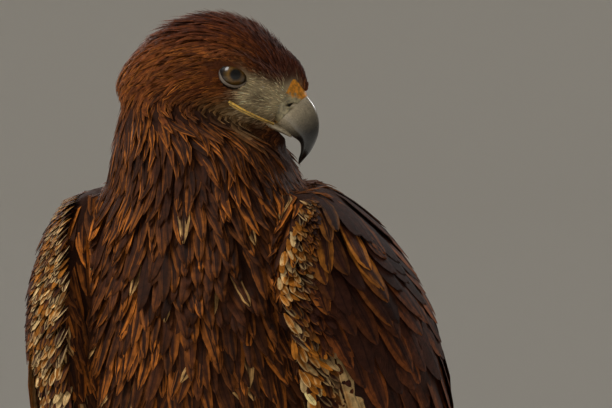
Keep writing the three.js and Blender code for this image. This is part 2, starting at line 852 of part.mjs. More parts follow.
function add(name, body, finish) {
  const { vertProperties, triVerts } = body.getMesh();
  const geometry = new THREE.BufferGeometry();
  geometry.setAttribute('position', new THREE.BufferAttribute(vertProperties, 3));
  geometry.setIndex(new THREE.BufferAttribute(triVerts, 1));
  geometry.computeVertexNormals();
  const mesh = new THREE.Mesh(geometry, new THREE.MeshStandardMaterial(finish));
  mesh.name = name;
  eagle.add(mesh);
}

add('head', head(), GOLDEN);
add('neck', neck(), GOLDEN);
add('torso', torso(), PLUMAGE);
add('cere', cere(), YELLOW_SKIN);
add('upper_bill', largest(cut(upperBill(), [headCutter()])), HORN);
add('lower_bill', lowerBill(), HORN);

const torsoCutter = torso(GROW);
const neckCutter = trunk(GROW);
add('tail', tail([torsoCutter]), PLUMAGE);

for (const [word, side] of [['left', 1], ['right', -1]]) {
  const leg = thigh(side);
  const legCutter = thigh(side, GROW);
  const footCutter = foot(side, GROW);
  add(`${word}_eye`, eyeball(side), IRIS);
  add(`${word}_wing`, wing(side, [neckCutter, legCutter]), PLUMAGE);
  const lowerLeg = largest(cut(shank(side), [legCutter, footCutter]));
  const feathered = joined([leg, ...trousers(side)]);
  add(`${word}_thigh`, largest(cut(feathered, [torsoCutter, shank(side, GROW)])), PLUMAGE);
  add(`${word}_shank`, lowerLeg, GOLDEN);
  add(`${word}_foot`, foot(side), YELLOW_SKIN);
  for (const toe of TOES) {
    add(`${word}_${toe[0]}_claw`, largest(cut(claw(side, toe), [footCutter])), HORN);
  }
}

export default eagle;
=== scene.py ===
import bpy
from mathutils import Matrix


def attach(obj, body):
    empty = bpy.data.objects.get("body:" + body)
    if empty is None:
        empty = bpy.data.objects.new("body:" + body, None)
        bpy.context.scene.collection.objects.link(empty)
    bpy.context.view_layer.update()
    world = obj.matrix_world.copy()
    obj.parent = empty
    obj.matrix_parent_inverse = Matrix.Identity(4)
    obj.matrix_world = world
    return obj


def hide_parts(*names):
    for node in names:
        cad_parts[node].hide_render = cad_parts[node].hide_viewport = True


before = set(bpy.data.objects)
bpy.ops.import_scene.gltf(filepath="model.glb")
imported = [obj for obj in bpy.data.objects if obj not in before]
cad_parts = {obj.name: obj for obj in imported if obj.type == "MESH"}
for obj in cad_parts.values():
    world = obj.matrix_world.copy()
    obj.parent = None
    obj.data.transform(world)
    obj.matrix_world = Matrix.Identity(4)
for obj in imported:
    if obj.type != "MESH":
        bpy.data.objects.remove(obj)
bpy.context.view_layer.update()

import math

import bmesh
import bpy
import numpy as np
from mathutils import Vector, noise
from mathutils.bvhtree import BVHTree
from mathutils.kdtree import KDTree


# ---- Skin ----
# The bare body under the plumage, from the skull to the legs and the arms of the wings.
# It is one skin, as on the bird, so that no seam shows where feathers part. It lies inside the
# outline by the depth of the coat.

ORIGIN_Y = 122.5  # the middle of the bird's length, in the millimetres of the rows below

# Each row: centre x, y, z, half width, depth to the back, depth to the belly.
TRUNK = [
    [-35, -61, 630, 33, 32, 32],
    [-26, -61, 609, 46, 44, 44],
    [-14, -60, 585, 64, 60, 60],
    [-10, -58, 560, 72, 67, 68],
    [-6, -53, 525, 86, 80, 84],
    [-2, -38, 475, 94, 94, 100],
    [0, -10, 425, 97, 100, 106],
    [0, 27, 377, 95, 96, 102],
    [0, 66, 334, 88, 84, 88],
    [0, 108, 292, 74, 62, 66],
    [0, 147, 260, 54, 40, 44],
    [0, 180, 236, 34, 24, 26],
]
# The sheet that the folded wings lie on: centre x, y, z, half width, height over the back,
# depth to the leading edge.
WING = [
    [-10, -58, 560, 88, 76, 70],
    [-6, -53, 525, 112, 92, 84],
    [-2, -38, 475, 131, 105, 91],
    [0, -10, 425, 134, 111, 93],
    [0, 27, 377, 131, 107, 90],
    [0, 66, 334, 123, 94, 80],
    [0, 108, 292, 110, 74, 66],
    [0, 147, 260, 97, 54, 54],
    [0, 180, 236, 88, 42, 46],
    [0, 228, 185, 76, 33, 38],
    [0, 276, 134, 63, 27, 30],
    [0, 324, 83, 48, 21, 22],
    [0, 352, 53, 37, 16, 16],
]
# Angles from the back of the wing's upper and leading edges at each row of WING, in degrees.
WING_EDGES = [
    [45, 118], [26, 141], [14, 144], [9, 141], [7, 134], [6, 126], [6, 118],
    [7, 112], [8, 107], [9, 102], [11, 92], [14, 84], [18, 78],
]
LEAD = 6  # degrees that the left leading edge lies ahead of the drawn line, and the right behind
# The wing's arm: row of WING, height of its outer face over the sheet, thickness.
WING_ARM = [
    [0, -8, 9], [0.25, -3, 24], [0.8, -1.5, 40], [1.6, -1.5, 44], [2.5, -3, 44],
    [3.4, -5, 40], [4.4, -6.5, 24], [5.3, -8, 14], [6, -9.5, 8],
]
ARM_ROWS, ARM_HEIGHTS, ARM_DEPTHS = zip(*WING_ARM)
# The head in its own frame. Each row: forward, crown, throat, half width, widest line's height.
HEAD = [
    [-75, -12, -38, 13, -25],
    [-68, 5, -45, 25, -20],
    [-58, 19, -48, 33, -16],
    [-45, 29, -48, 37.5, -12],
    [-30, 34.5, -46, 37, -8],
    [-15, 36, -42, 33.5, -4],
    [0, 34.5, -38, 28, -2],
    [12, 30, -34, 24.5, -2],
    [23, 23, -29, 20, -4],
    [31, 15, -25, 15, -6],
    [36, 8, -22, 10, -8],
]
HEAD_AT = (14.5, -60, 634)
HEAD_YAW, HEAD_PITCH = math.radians(5), math.radians(15)
# The bony ridge over each eye: forward, side, up, radius.
BROW = [
    [-16, 30, 9, 2.5], [-8, 32.5, 11, 4.5], [2, 31.5, 10.5, 5],
    [11, 27.5, 8.5, 5], [21, 21.5, 6, 4.5], [31, 14, 4, 3],
]
# The peak of feathers that comes down the forehead over the cere: forward, up, radius.
FOREHEAD = [
    [23, 13.5, 8.5], [31.5, 13.0, 5.6], [36.0, 9.2, 4.6], [39.2, 5.6, 4.1],
    [41.2, 2.0, 3.8], [41.6, -1.5, 3.6], [41.2, -4, 3.4],
]
# The feathered chin under the lower bill: forward, up, radius.
CHIN = [[6, -36, 12], [18, -37, 11], [28, -37, 8.5], [35, -35.5, 6], [40, -34.0, 3]]
# Each thigh row: centre x, y, z, half width, half length fore and aft.
THIGH = [
    [50, 20, 345, 40, 52],
    [56, 18, 300, 41, 56],
    [58, 16, 250, 37, 50],
    [58, 22, 200, 31, 42],
    [57, 32, 155, 24, 33],
    [56, 42, 118, 18, 24],
]
ANKLE, FOOT = (56, 43, 126), (54, 16, 17)
# The feathered rump on the line of the tail: distance, half width, top, bottom.
RUMP = [
    [-20, 30, 10, -24], [30, 29, 6, -20], [80, 28, 3, -17], [120, 24, 0, -13], [142, 14, -4, -9],
]
TAIL_ROOT, TAIL_FALL, TAIL_DROP = (0, 180, 236), math.radians(47), 5
SHANK_RADII = [11.5, 11.5, 11, 10.5, 10, 9.5]
# Depths of the plumage, by which the skin lies inside the outline: over the trunk, over the face
# and how much deeper at the nape, over the wing's arm, the legs, and the rump's sides and top.
COAT, FACE_COAT, NAPE_MORE, ARM_COAT, LEG_COAT, RUMP_SIDE, RUMP_COAT = 9.0, 2.2, 5, 2, 6, 4, 3
BROW_IN, BROW_DOWN = 0.8, 2.8  # how far the bony ridge lies inside the brow's outline
HEAD_SQUARE = 2.2  # power of the head's rounded section, where 2 would be an ellipse
VOXEL, SKIN_ROUNDS = 0.0032, 6  # grid on which the forms grow together, and rounds of smoothing


def along(rows, s):
    """Rows of a table at fractional indices s, on a smooth curve through the rows."""
    rows = np.asarray(rows, float)
    s = np.atleast_1d(np.asarray(s, float))
    last = len(rows) - 1
    i = np.clip(np.floor(s).astype(int), 0, last - 1)
    t = (s - i)[:, None]
    a, b, d, e = (rows[np.clip(i + k, 0, last)] for k in (-1, 0, 1, 2))
    start, end = (d - a) / 2, (e - b) / 2
    return b + t * (start + t * (3 * (d - b) - 2 * start - end + t * (2 * (b - d) + start + end)))


def unit(vectors):
    return vectors / np.maximum(np.linalg.norm(vectors, axis=-1, keepdims=True), 1e-9)


def metres(points):
    """From the bird's millimetres to metres in the frame."""
    return (np.asarray(points, float) - (0, ORIGIN_Y, 0)) / 1000


def spine(rows, s):
    """The rows at s, the way down the body there, and the way out of its back."""
    here = along(rows, s)
    down = unit(along(rows, np.asarray(s) + 0.05)[:, :3] - along(rows, np.asarray(s) - 0.05)[:, :3])
    return here, down, unit(np.cross((1, 0, 0), down))


def on_body(rows, s, angle, height, side=1):
    """Points over a body of rows, at angles from its back."""
    s, angle, height = np.broadcast_arrays(*(np.asarray(v, float) for v in (s, angle, height)))
    here, _, back = spine(rows, s.ravel())
    turn, lift = angle.ravel(), height.ravel()
    depth = np.where(np.cos(turn) > 0, here[:, 4], here[:, 5])
    points = here[:, :3] + back * ((depth + lift) * np.cos(turn))[:, None]
    points[:, 0] += side * (here[:, 3] + lift) * np.sin(turn)
    return points.reshape(*s.shape, 3)


FORWARD = np.array([
    math.cos(HEAD_PITCH) * math.cos(HEAD_YAW),
    math.cos(HEAD_PITCH) * math.sin(HEAD_YAW),
    -math.sin(HEAD_PITCH),
])
LEFT = np.array([-math.sin(HEAD_YAW), math.cos(HEAD_YAW), 0])
UP = np.cross(FORWARD, LEFT)


def in_head(forward, left, up):
    """Points from how far they lie forward, left and up in the head's own frame."""
    parts = np.broadcast_arrays(*(np.asarray(v, float)[..., None] for v in (forward, left, up)))
    return np.asarray(HEAD_AT) + parts[0] * FORWARD + parts[1] * LEFT + parts[2] * UP


def wing_edges(s, side):
    """Angles of a wing's upper and leading edges. The left one reaches further round the breast."""
    edges = along(WING_EDGES, s)
    edges[:, 1] += LEAD * side * np.interp(s, [0, 1, 3, 6], [0.5, 1, 0.8, 0])
    return edges


def wing_angle(s, across, side):
    """Angles at shares of the way across a wing, from its upper to its leading edge."""
    edges = np.radians(wing_edges(np.ravel(s), side)).reshape(*np.shape(s), 2)
    return edges[..., 0] + (edges[..., 1] - edges[..., 0]) * across


TAIL_AXIS = np.array([0, math.cos(TAIL_FALL), -math.sin(TAIL_FALL)])
TAIL_TOP = np.cross((1, 0, 0), TAIL_AXIS)


def on_tail(distance, side, height):
    """Points down the tail from its root, to its side and over its line."""
    parts = (distance, side, height)
    parts = np.broadcast_arrays(*(np.asarray(v, float)[..., None] for v in parts))
    offset = parts[0] * TAIL_AXIS + (parts[2] - TAIL_DROP) * TAIL_TOP
    return np.asarray(TAIL_ROOT) + offset + parts[1] * np.array([1, 0, 0])


def smooth(low, high, value):
    """0 below low, 1 above high and an even slope between."""
    t = np.clip((np.asarray(value, float) - low) / (high - low), 0, 1)
    return t * t * (3 - 2 * t)


def tube(bm, rings, closed=False):
    """Rings of points bridged into one skin, with its ends filled, or joined into a hoop."""
    loops = []
    for ring in rings:
        verts = bmesh.ops.create_circle(bm, segments=len(ring), radius=1)["verts"]
        for vert, point in zip(verts, metres(ring)):
            vert.co = point
        loops.append(list({edge for vert in verts for edge in vert.link_edges}))
    pairs = list(zip(loops, loops[1:])) + ([(loops[-1], loops[0])] if closed else [])
    for first, second in pairs:
        bmesh.ops.bridge_loops(bm, edges=first + second)
    if not closed:
        bmesh.ops.holes_fill(bm, edges=loops[0] + loops[-1], sides=0)


def rod_rings(points, radii, sides, steps):
    """Rings round a smooth curve through points."""
    where = np.linspace(0, len(points) - 1, steps)
    centre = along(points, where)
    radius = along(np.asarray(radii, float)[:, None], where)
    way = unit(np.gradient(centre, axis=0))
    out = unit(np.cross(way, np.where(abs(way[:, :1]) < 0.8, (1, 0, 0), (0, 0, 1))))
    up = np.cross(way, out)
    turn = np.linspace(0, 2 * np.pi, sides, endpoint=False)[:, None]
    ring = np.cos(turn) * out[:, None] + np.sin(turn) * up[:, None]
    return centre[:, None] + radius[:, None] * ring


def finished(bm, name):
    """An object of the bmesh, with its doubles merged and its faces outwards."""
    bmesh.ops.remove_doubles(bm, verts=bm.verts, dist=1e-6)
    bmesh.ops.recalc_face_normals(bm, faces=bm.faces)
    mesh = bpy.data.meshes.new(name)
    bm.to_mesh(mesh)
    bm.free()
    mesh.polygons.foreach_set("use_smooth", [True] * len(mesh.polygons))
    piece = bpy.data.objects.new(name, mesh)
    bpy.context.scene.collection.objects.link(piece)
    return piece


def fused(piece, voxel, rounds):
    """The piece's parts grown together into one skin and smoothed."""
    remesh = piece.modifiers.new("fuse", "REMESH")
    remesh.mode = "VOXEL"
    remesh.voxel_size = voxel
    remesh.use_smooth_shade = True
    soften = piece.modifiers.new("soften", "SMOOTH")
    soften.factor = 0.5
    soften.iterations = rounds
    bpy.context.view_layer.update()
    grown = piece.evaluated_get(bpy.context.evaluated_depsgraph_get())
    mesh = bpy.data.meshes.new_from_object(grown)
    piece.modifiers.clear()
    piece.data = mesh
    return piece


def body_form():
    """Rings of every form of the skin, each with the name of its tract."""
    turn = np.linspace(0, 2 * np.pi, 40, endpoint=False)
    rows_of = lambda table, steps: along(table, np.linspace(0, len(table) - 1, steps))
    squared = lambda wave: np.sign(wave) * abs(wave) ** (2 / HEAD_SQUARE)
    down = np.linspace(0, len(TRUNK) - 1, 45)
    forms = [("trunk", [on_body(TRUNK, s, turn, -COAT) for s in down])]
    rings = []
    for forward, crown, throat, half, widest in rows_of(HEAD, 32):
        inset = FACE_COAT + NAPE_MORE * float(smooth(-5, -60, forward))
        rise = squared(np.cos(turn))
        reach = np.where(rise > 0, crown - widest, widest - throat) - inset
        side = (half - inset * 0.8) * squared(np.sin(turn))
        rings.append(in_head(forward, side, widest + reach * rise))
    forms.append(("head", rings))
    for rod in (CHIN, FOREHEAD):
        points = [in_head(f, 0, u) for f, u, _ in rod]
        forms.append(("head", rod_rings(points, [row[2] for row in rod], 16, 12)))
    for side in (1, -1):
        points = [in_head(f, side * (l - BROW_IN), u - BROW_DOWN) for f, l, u, _ in BROW]
        forms.append(("head", rod_rings(points, [row[3] for row in BROW], 12, 16)))
        rings = []
        for s in np.linspace(0, 6, 25):
            here = np.full(20, s)
            high, deep = (np.interp(s, ARM_ROWS, column) for column in (ARM_HEIGHTS, ARM_DEPTHS))
            angle = wing_angle(here, np.linspace(0.03, 0.97, 20), side)
            outer, inner = (on_body(WING, here, angle, high - d, side) for d in (ARM_COAT, deep))
            rings.append(np.concatenate([outer, inner[::-1]]))
        forms.append(("wing", rings))
        rings = []
        for x, y, z, wide, long in rows_of(THIGH, 22):
            out, back = (wide - LEG_COAT) * np.sin(turn), (long - LEG_COAT) * np.cos(turn)
            rings.append(np.stack([side * (x + out), y + back, np.full(40, z)], axis=1))
        forms.append(("thigh", rings))
        ankle, foot = np.array([ANKLE, FOOT]) * (side, 1, 1)
        line = ankle + (foot - ankle) * np.linspace(-0.1, 0.96, 6)[:, None]
        forms.append(("shank", rod_rings(line, SHANK_RADII, 24, 16)))
    rings = []
    for distance, half, top, bottom in rows_of(RUMP, 16):
        high = (top + bottom) / 2 + ((top - bottom) / 2 - RUMP_COAT) * np.cos(turn)
        rings.append(on_tail(distance, (half - RUMP_SIDE) * np.sin(turn), high))
    forms.append(("rump", rings))
    return forms


forms = body_form()
bm = bmesh.new()
for _, rings in forms:
    tube(bm, rings)
skin = fused(finished(bm, "skin"), VOXEL, SKIN_ROUNDS)
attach(skin, "root")
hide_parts("torso", "neck", "left_thigh", "right_thigh", "left_shank", "right_shank")


# ---- Lie and colour of the plumage ----
# Every point of the skin says how the feathers that grow there lie, how large and how pointed
# they are, how they are spaced, and what colours they have. Both the skin and its feathers are
# coloured from these, so they carry the same markings.

def colour(code):
    """A linear colour from its sRGB hex value."""
    parts = np.array([int(code[i:i + 2], 16) / 255 for i in (0, 2, 4)])
    return np.where(parts <= 0.04045, parts / 12.92, ((parts + 0.055) / 1.055) ** 2.4)


CROWN_BROWN = colour("52281a")
CHEEK_BROWN = colour("6b3614")
RUFOUS = colour("7a3d14")
GOLD = colour("a35f22")
LORE_GREY = colour("d8c49c")
BREAST_BROWN = colour("381c0d")
STREAK_RUFOUS = colour("ab6121")
PALE_BUFF = colour("cfa063")
BELLY_BROWN = colour("3a1e0d")
BACK_BROWN = colour("36221a")
BACK_EDGE = colour("6d4a30")
THIGH_BROWN = colour("3a2114")
THIGH_EDGE = colour("7a4c28")
SHANK_TAN = colour("8d6a42")
SHANK_PALE = colour("b39468")


def values_of(piece, key):
    """One property of every point of a piece, as rows."""
    return np.array([getattr(vert, key) for vert in piece.data.vertices])


def millimetres(points):
    """From metres in the frame to the bird's millimetres."""
    return points * 1000 + (0, ORIGIN_Y, 0)


def from_head(points_mm):
    """How far points lie forward, left and up in the head's own frame."""
    return [(points_mm - np.asarray(HEAD_AT)) @ axis for axis in (FORWARD, LEFT, UP)]


def trunk_row(points_mm):
    """The fractional row of TRUNK at the height of each point."""
    return np.interp(-points_mm[:, 2], [-row[2] for row in TRUNK], range(len(TRUNK)))


def dot(first, second):
    """Row by row."""
    return np.einsum("...j,...j->...", first, second)


def tree_of(points):
    """A search tree of points."""
    tree = KDTree(len(points))
    for index, point in enumerate(points):
        tree.insert(point, index)
    tree.balance()
    return tree


skin_points = values_of(skin, "co")
skin_normals = unit(values_of(skin, "normal"))
skin_mm = millimetres(skin_points)
count = len(skin_points)
names, spots = zip(*((name, point) for name, rings in forms for ring in rings for point in ring))
form_tree = tree_of(spots)
tract = np.array([names[form_tree.find(point)[1]] for point in skin_mm])


def tract_is(*wanted):
    """Which points of the skin are nearest to forms of these names."""
    return np.isin(tract, wanted)


BILL_ROOT = (44, 0, -12)  # where the feathers of the head part, forward, left and up
NECK_LOW, NECK_HIGH = 535, 600  # heights between which the trunk's feathers turn to hackles
BELLY_HIGH, BELLY_LOW = 430, 360  # and the breast's to the belly's
BACK_HIGH, BACK_LOW = 600, 520  # and the hackles to the broad feathers of the back
hf, hl, hu = from_head(skin_mm)
side_of_head = abs(hl)
from_bill = np.stack([hf, hl, hu], axis=1) - BILL_ROOT
reach = np.linalg.norm(from_bill, axis=1)
_, down_trunk, out_of_back = spine(TRUNK, trunk_row(skin_mm))
backness = dot(skin_normals, out_of_back)
headness, leg, shin, rump = (
    tract_is(name).astype(float) for name in ("head", "thigh", "shank", "rump"))
z = skin_mm[:, 2]
neckness = smooth(NECK_LOW, NECK_HIGH, z)
belly = smooth(BELLY_HIGH, BELLY_LOW, z)
broad_back = (1 - headness) * smooth(0.1, 0.7, backness) * smooth(BACK_HIGH, BACK_LOW, z)
upper = smooth(0.0, 0.5, backness) * (1 - neckness)
brow_line = np.interp(hf, [-10, 5, 8, 20, 30, 34], [3, 6, 1.5, 0, -1, 4])
lores = smooth(3, 9, hf) * smooth(1.2, -1.2, hu - brow_line) * smooth(-27, -22, hu)
lores = lores * smooth(3, 7, side_of_head) * headness
chin = smooth(-24, -29, hu) * smooth(4, 12, hf) * headness

EYE_SIDE, EYE_FORWARD, EYE_UP, EYE_RADIUS = 20.2, -1.6, -1.2, 11.5
EYE_TOE = math.radians(20)  # by which an eye looks forward
# How high the lids open over and under the eye's middle, in radii, and how long they are.
LID_TOP, LID_BOTTOM, LID_LONG = 0.74, 0.92, 1.12


def eye_axes(side):
    """The middle of an eyeball, the way it looks, and the ways forwards and up across it."""
    look = unit(LEFT * side * math.cos(EYE_TOE) + FORWARD * math.sin(EYE_TOE))
    fore = unit(FORWARD - look * (FORWARD @ look))
    over = unit(UP - look * (UP @ look) - fore * (UP @ fore))
    return in_head(EYE_FORWARD, side * EYE_SIDE, EYE_UP), look, fore, over


def eye_gap(points_mm):
    """Distance from the middle line of either eye's look, measured in radii of the oval lids."""
    gaps = []
    for side in (1, -1):
        centre, look, fore, over = eye_axes(side)
        offset = points_mm - centre
        high = offset @ over
        gap = np.hypot((offset @ fore) / LID_LONG, high / np.where(high > 0, LID_TOP, LID_BOTTOM))
        gaps.append(np.where(offset @ look > 0, gap, 99))
    return np.minimum(*gaps)


def blend(low, high, share):
    """From low to high, by a share for each point. Both may be one colour or number for all."""
    share = np.asarray(share)
    if any(np.shape(value)[-1:] == (3,) for value in (low, high)):
        share = share[:, None]
    return low + (np.asarray(high) - np.asarray(low)) * share


def layered(base, *layers):
    """Values at every point, with others laid over them, each by its own share."""
    for value, share in layers:
        base = blend(base, value, share)
    return base


eye_near = smooth(22, 9, eye_gap(skin_mm)) * headness
# Feathers of the head lie away from the bill, and more and more downwards.
falling = np.outer(smooth(30, 110, reach), (0, 0, -70))
lie_head = unit(from_bill @ np.stack([FORWARD, LEFT, UP]) + falling)
lie = layered(
    down_trunk, (lie_head, headness), (np.array([0, 0.05, -1.0]), np.clip(leg + shin, 0, 1)),
    (TAIL_AXIS, rump))
# Sizes in millimetres: on the breast, then as they change over the rest of the body. On the head
# they grow with the distance from the bill.
spacing = layered(
    4.7, (3.5, neckness), (5.6, belly),
    (np.interp(reach, [0, 22, 45, 80, 130], [1.15, 1.15, 1.45, 2.0, 2.9]), headness))
spacing = layered(spacing + 1.6 * broad_back, (1.1, eye_near), (5.0, leg), (2.8, shin))
length = layered(
    38.0, (36.0, neckness), (46.0, belly),
    (np.interp(reach, [0, 20, 40, 65, 95, 130], [4, 5, 9, 16, 26, 36]), headness),
    (40.0, leg), (14.0, shin), (4.0, eye_near), (4.2, lores), (11.0, chin))
width = layered(
    9.0, (5.6, neckness), (13.0, belly),
    (np.interp(reach, [0, 20, 45, 80, 130], [0.8, 0.95, 1.5, 2.3, 3.9]), headness))
width = layered(
    width + 5 * broad_back, (9.0, leg), (4.4, shin), (1.1, eye_near), (0.5, lores), (1.6, chin))
lift = layered(
    7.5, (6.5, neckness),
    (np.interp(reach, [0, 20, 45, 80, 130], [1.3, 1.6, 2.8, 4.4, 6.5]), headness),
    (1.5, eye_near), (4.0, shin), (3.0, tract_is("wing")))
point = blend(np.clip(0.45 + 0.55 * neckness + headness, 0, 1), 0.7, leg)
# Markings of the head: the crown, a dark line behind the eye, a dark chin, a buff line from the
# corner of the mouth, and a dark blotch in the pale lores.
crown = smooth(8, 26, hu) * smooth(-70, -20, hf)
crown = np.clip(crown + smooth(10, 18, hf) * smooth(-3, 0, hu - brow_line), 0, 1)
eye_line = smooth(4.2, 1.6, abs(hu - 4.0 - 0.05 * (hf + 10)))
eye_line = eye_line * smooth(-34, -26, hf) * smooth(-4, -9, hf)
chin_line = smooth(-20, -27, hu + 0.25 * (hf - 10)) * smooth(-40, -10, hf)
buff_line = smooth(6.0, 2.0, abs(hu + 25 + 0.25 * (hf - 5))) * smooth(-12, -4, hf)
buff_line = buff_line * smooth(8, 14, side_of_head)
blotch = smooth(7.5, 3.0, np.hypot(hf - 19, (hu + 13) * 1.3))
head_ground = layered(
    CHEEK_BROWN, (CROWN_BROWN, crown), (BREAST_BROWN * 1.1, chin_line),
    (BREAST_BROWN * 0.6, eye_line), (PALE_BUFF * 0.6, buff_line * 0.8), (LORE_GREY, lores),
    (BREAST_BROWN, blotch * lores * 0.8))
ground = layered(
    BREAST_BROWN, (BELLY_BROWN, belly), (BACK_BROWN, upper),
    (RUFOUS, neckness * smooth(-0.35, 0.5, backness) * 0.9), (head_ground, headness),
    (THIGH_BROWN, leg), (SHANK_TAN, shin))
golden = np.clip(neckness * smooth(-0.4, 0.4, backness) + headness * (1 - crown), 0, 1)
fringe = layered(
    STREAK_RUFOUS, (BACK_EDGE, upper), (GOLD, golden), (RUFOUS * 1.1, headness * crown),
    (BREAST_BROWN * 1.5, headness * chin_line * 0.6), (LORE_GREY * 1.4, lores),
    (THIGH_EDGE, leg), (SHANK_PALE, shin))
amount = layered(
    0.5, (0.85, neckness * smooth(-0.5, 0.3, backness)), (0.75, headness), (0.9, lores),
    (0.25, np.clip(headness * (eye_line + chin_line), 0, 1)), (0.8, upper))
fields = np.concatenate([
    lie, np.stack([spacing, length, width, lift, point], axis=1), ground, fringe, amount[:, None],
], axis=1)
# Where each of them stands in a row of fields.
LIE, GROUND, FRINGE, AMOUNT = slice(0, 3), slice(8, 11), slice(11, 14), 14
SPACING, LENGTH, WIDTH, LIFT, POINT = range(3, 8)

ends = np.zeros(len(skin.data.edges) * 2, int)
skin.data.edges.foreach_get("vertices", ends)
ends = ends.reshape(-1, 2)
degree = np.bincount(ends.ravel(), minlength=count)[:, None]


def evened(values, rounds):
    """Values of the skin's points, each drawn towards its neighbours'."""
    for _ in range(rounds):
        total = np.zeros_like(values)
        np.add.at(total, ends[:, 0], values[ends[:, 1]])
        np.add.at(total, ends[:, 1], values[ends[:, 0]])
        values = 0.5 * values + 0.5 * total / np.maximum(degree, 1)
    return values


def level(vectors, normals):
    """Unit vectors along a surface with these normals."""
    return unit(vectors - normals * dot(vectors, normals)[..., None])


soft_fields = evened(fields, 10)
keep_fine = (headness * smooth(70, 40, reach))[:, None]
fields = soft_fields + (evened(fields, 2) - soft_fields) * keep_fine
fields[:, LIE] = level(fields[:, LIE], skin_normals)


def store(mesh, name, colours):
    """A named attribute of a mesh: a colour with an alpha for each point."""
    made = mesh.attributes.new(name, "FLOAT_COLOR", "POINT")
    made.data.foreach_set("color", np.asarray(colours, np.float32).ravel())


def with_alpha(colours, alpha):
    """Colours kept in range, with one more number each."""
    return np.concatenate([np.clip(colours, 0, 1), np.asarray(alpha, float).reshape(-1, 1)], axis=1)


def store_ground(piece, colours):
    """The piece's own colour at each point, which its material reads."""
    store(piece.data, "ground", with_alpha(colours, np.ones(len(colours))))


store_ground(skin, fields[:, GROUND])


def node(tree, kind, links=None, **settings):
    """Adds a node with its settings. links gives its inputs, each a value or another's output."""
    made = tree.nodes.new(kind)
    for key, value in settings.items():
        setattr(made, key, value)
    for key, value in (links or {}).items():
        if isinstance(value, bpy.types.NodeSocket):
            tree.links.new(value, made.inputs[key])
        else:
            made.inputs[key].default_value = value
    return made


def new_material(name, roughness, **sockets):
    """A material with one shader, whose fixed numbers are set on its own sockets."""
    made = bpy.data.materials.new(name)
    made.use_nodes = True
    shader = made.node_tree.nodes["Principled BSDF"]
    shader.inputs["Roughness"].default_value = roughness
    for key, value in sockets.items():
        shader.inputs[key.replace("_", " ")].default_value = value
    return made, made.node_tree, shader


def dressed(tree, shader, base, shade, height, strength, depth, invert=False):
    """Gives a shader its base colour under a shade, and the relief of a height."""
    tint = node(tree, "ShaderNodeVectorMath", {0: base, 1: shade}, operation="MULTIPLY")
    tree.links.new(tint.outputs["Vector"], shader.inputs["Base Color"])
    links = {"Height": height, "Strength": strength, "Distance": depth}
    relief = node(tree, "ShaderNodeBump", links, invert=invert)
    tree.links.new(relief.outputs["Normal"], shader.inputs["Normal"])


def own_colour(tree, shader, pattern, span, levels, height, strength, depth, invert=False):
    """The piece's own colour from its points, shaded from one level to the other by a pattern."""
    marks = node(tree, "ShaderNodeAttribute", attribute_name="ground")
    shade = node(tree, "ShaderNodeMapRange", {
        "Value": pattern, "From Min": span[0], "From Max": span[1],
        "To Min": levels[0], "To Max": levels[1]})
    base = marks.outputs["Color"]
    dressed(tree, shader, base, shade.outputs["Result"], height, strength, depth, invert)


# Bird skin with its down: matt, dull and darker than the feathers over it, since little light
# gets down to it. Its tufts are about 1.4 mm wide.
skin_material, tree, shader = new_material("downy_skin", 0.9, Specular_IOR_Level=0.2)
place = node(tree, "ShaderNodeTexCoord").outputs["Object"]
tufts = node(tree, "ShaderNodeTexNoise", {"Vector": place, "Scale": 700.0, "Detail": 4.0})
fac = tufts.outputs["Fac"]
own_colour(tree, shader, fac, (0.0, 1.0), (0.45, 0.85), fac, strength=0.5, depth=0.001)
skin.data.materials.clear()
skin.data.materials.append(skin_material)


# ---- Body feathers ----
# Contour feathers of keratin, each a thin vane on a shaft, rooted in the skin and lying back over
# the next. On the neck and head they are narrow, pointed hackles, and smallest round the bill.

SEED = 11
THICK = 0.35  # of a vane at its shaft, in millimetres
TRIES = 5  # spots drawn for each feather that finds room
STRAY = 0.16  # of a feather's heading from the lie around it, in radians
FOLDED, LONG_STEP = 0.4, 0.45  # the sharpest turn and the longest step of a feather that lies well
# Where feathers lie flatter, at the edge of the shoulder: from the middle out, and up.
SHOULDER_OUT, SHOULDER_UP = (36, 50), (535, 548)
PALE_SHARE, PALE_BELOW = 0.045, 570  # of the front's feathers with a buff fringe, and their height
# Share of the length, half width when round, half width when pointed.
BODY_VANE = [
    [0, 0.35, 0.45], [0.3, 0.8, 0.95], [0.62, 1.0, 0.9], [0.87, 0.8, 0.42], [1, 0.22, 0.06],
]
BARE_EYE, FACE_NEAR = 8.7, 60  # bare round the eye, and how far the face reaches, in millimetres
PATCH = 0.003  # width of one feather in the square of the bake
random = np.random.default_rng(SEED)
face_share = headness * smooth(90, 40, reach)
faces = np.zeros(len(skin.data.polygons) * 4, int)
skin.data.polygons.foreach_get("vertices", faces)
faces = faces.reshape(-1, 4)
surface = BVHTree.FromPolygons(skin_points.tolist(), faces.tolist())


def hidden_by_wing(points_mm):
    """Where the folded wing lies over the body or is the body's surface."""
    steps = np.linspace(0, len(WING) - 1, 97)
    here, down, back = spine(WING, steps)
    nearest = abs(dot(points_mm[:, None] - here[None, :, :3], down)).argmin(axis=1)
    s, here, back = steps[nearest], here[nearest], back[nearest]
    out = points_mm - here[:, :3]
    angle = np.degrees(np.arctan2(abs(out[:, 0]), dot(out, back)))
    upper, leading = np.where(points_mm[:, :1] > 0, wing_edges(s, 1), wing_edges(s, -1)).T
    return (angle > upper + 4) & (angle < leading - 20) & (s > 0.35) & (s < 10)


